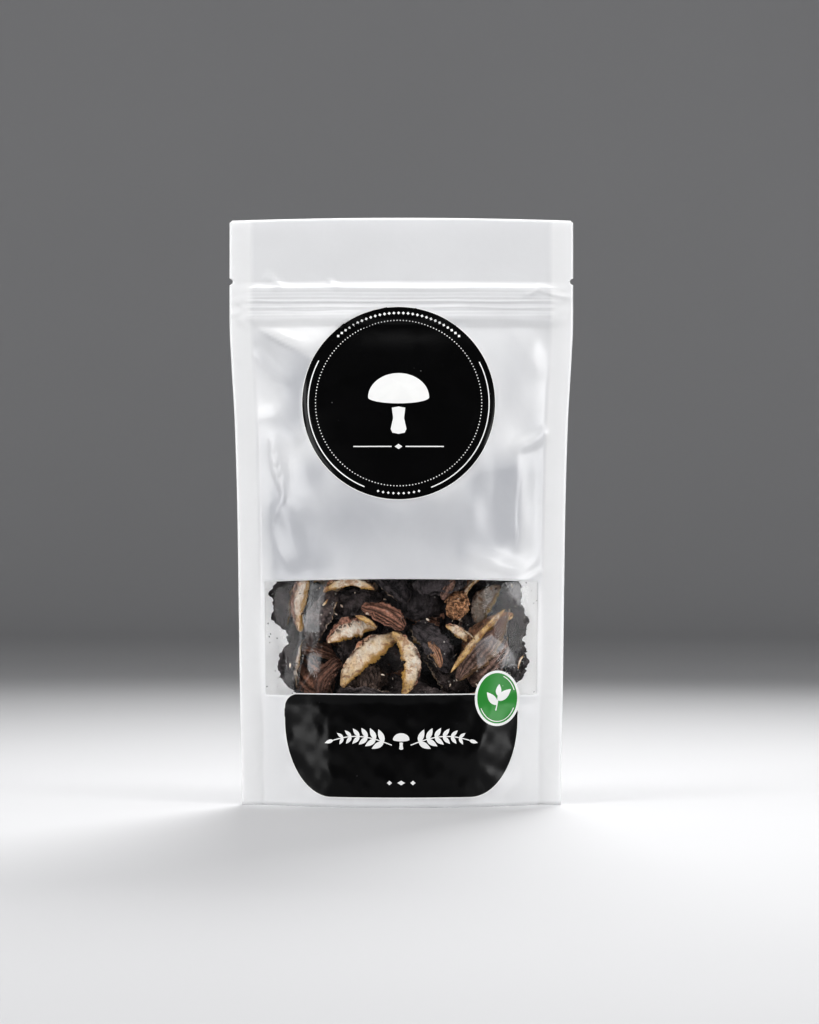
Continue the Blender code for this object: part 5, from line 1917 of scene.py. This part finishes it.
class POUCH_OT_stage(bpy.types.Operator):
    """Adds the pale sweep, the soft lights and the camera"""

    bl_idname = "pouch.stage"
    bl_label = "Stage"

    def execute(self, context):
        scene = context.scene
        turns = np.radians(np.linspace(-90, 0, 13))
        profile = [(0.02, 0.0), (0.6, 0.0), (1.4, 0.0), (2.2, 0.0)]
        profile += [(2.2 + 0.8 * math.cos(t), 0.8 + 0.8 * math.sin(t)) for t in turns[1:]] + [(3.0, 1.3)]
        sides = 96
        points = [
            (r * math.cos(2 * math.pi * i / sides), r * math.sin(2 * math.pi * i / sides), z)
            for r, z in profile for i in range(sides)
        ]
        mesh = mesh_of("sweep", points, grid_faces(len(profile), sides, wrap=True)
                       + [tuple(range(sides))[::-1]])
        material, tree, shader, place = new_material("pale_paper", Roughness=0.9)
        grain = noise_value(tree, place, 3.0, 2.0)
        paper = blend_colour(tree, grain, (0.60, 0.60, 0.61, 1.0), (0.64, 0.64, 0.65, 1.0))
        tree.links.new(paper, shader.inputs["Base Color"])
        mesh.materials.append(material)
        sweep = bpy.data.objects.new("sweep", mesh)
        scene.collection.objects.link(sweep)
        world = bpy.data.worlds.new("studio")
        world.use_nodes = True
        background = world.node_tree.nodes["Background"]
        background.inputs["Color"].default_value = (0.97, 0.98, 1.0, 1.0)
        background.inputs["Strength"].default_value = 0.10
        scene.world = world
        soft_light("left_softbox", (-1.12, -0.84, 0.30), (0.5, 1.0), 7.7)
        soft_light("right_softbox", (1.16, -0.80, 0.18), (0.4, 1.0), 8.1)
        soft_light("left_strip", (-1.30, -0.12, 0.35), (0.3, 1.1), 1.3)
        soft_light("right_strip", (1.30, -0.12, 0.35), (0.3, 1.1), 1.3)
        soft_light("overhead", (0.0, -0.46, 1.50), (1.4, 0.6), 13.5)
        soft_light("back_softbox", (0.3, 1.5, 0.8), (0.9, 0.7), 2.9, spread=50)
        scene.view_settings.view_transform = "Standard"
        scene.view_settings.look = "Medium High Contrast"
        camera = bpy.data.objects.new("camera", bpy.data.cameras.new("camera"))
        scene.collection.objects.link(camera)
        camera.data.lens = 148.6
        camera.data.sensor_width = 36
        camera.data.clip_end = 50
        camera.location = (3.1 * MM, -1.6, 110.7 * MM)
        camera.rotation_euler = (math.radians(90), 0, 0)
        scene.camera = camera
        return {"FINISHED"}


class POUCH_PT_panel(bpy.types.Panel):
    """Lists the pouch's pieces, sizes and colours"""

    bl_label = "Shiitake pouch"
    bl_idname = "POUCH_PT_panel"
    bl_space_type = "VIEW_3D"
    bl_region_type = "UI"
    bl_category = "Pouch"

    def draw(self, context):
        for group in (context.scene.pouch_sizes, context.scene.pouch_colours):
            box = self.layout.box()
            for name in group.bl_rna.properties.keys():
                if name not in ("rna_type", "name"):
                    box.prop(group, name)
        for operator in OPERATORS:
            self.layout.operator(operator.bl_idname)


OPERATORS = (
    POUCH_OT_stage, POUCH_OT_panels, POUCH_OT_window, POUCH_OT_gusset, POUCH_OT_zip, POUCH_OT_round_label,
    POUCH_OT_lower_label, POUCH_OT_small_seal, POUCH_OT_slices, POUCH_OT_pile,
)
CLASSES = (PouchSizes, PouchColours) + OPERATORS + (POUCH_PT_panel,)


def register():
    for item in CLASSES:
        bpy.utils.register_class(item)
    bpy.types.Scene.pouch_sizes = PointerProperty(type=PouchSizes)
    bpy.types.Scene.pouch_colours = PointerProperty(type=PouchColours)


def unregister():
    del bpy.types.Scene.pouch_colours
    del bpy.types.Scene.pouch_sizes
    for item in reversed(CLASSES):
        bpy.utils.unregister_class(item)


def main():
    register()
    bpy.ops.pouch.stage()
    bpy.ops.pouch.panels()
    bpy.ops.pouch.window()
    bpy.ops.pouch.gusset()
    bpy.ops.pouch.zip()
    bpy.ops.pouch.round_label()
    bpy.ops.pouch.lower_label()
    bpy.ops.pouch.small_seal()
    bpy.ops.pouch.slices()
    bpy.ops.pouch.pile()
    bpy.context.view_layer.update()


if __name__ == "__main__":
    main()
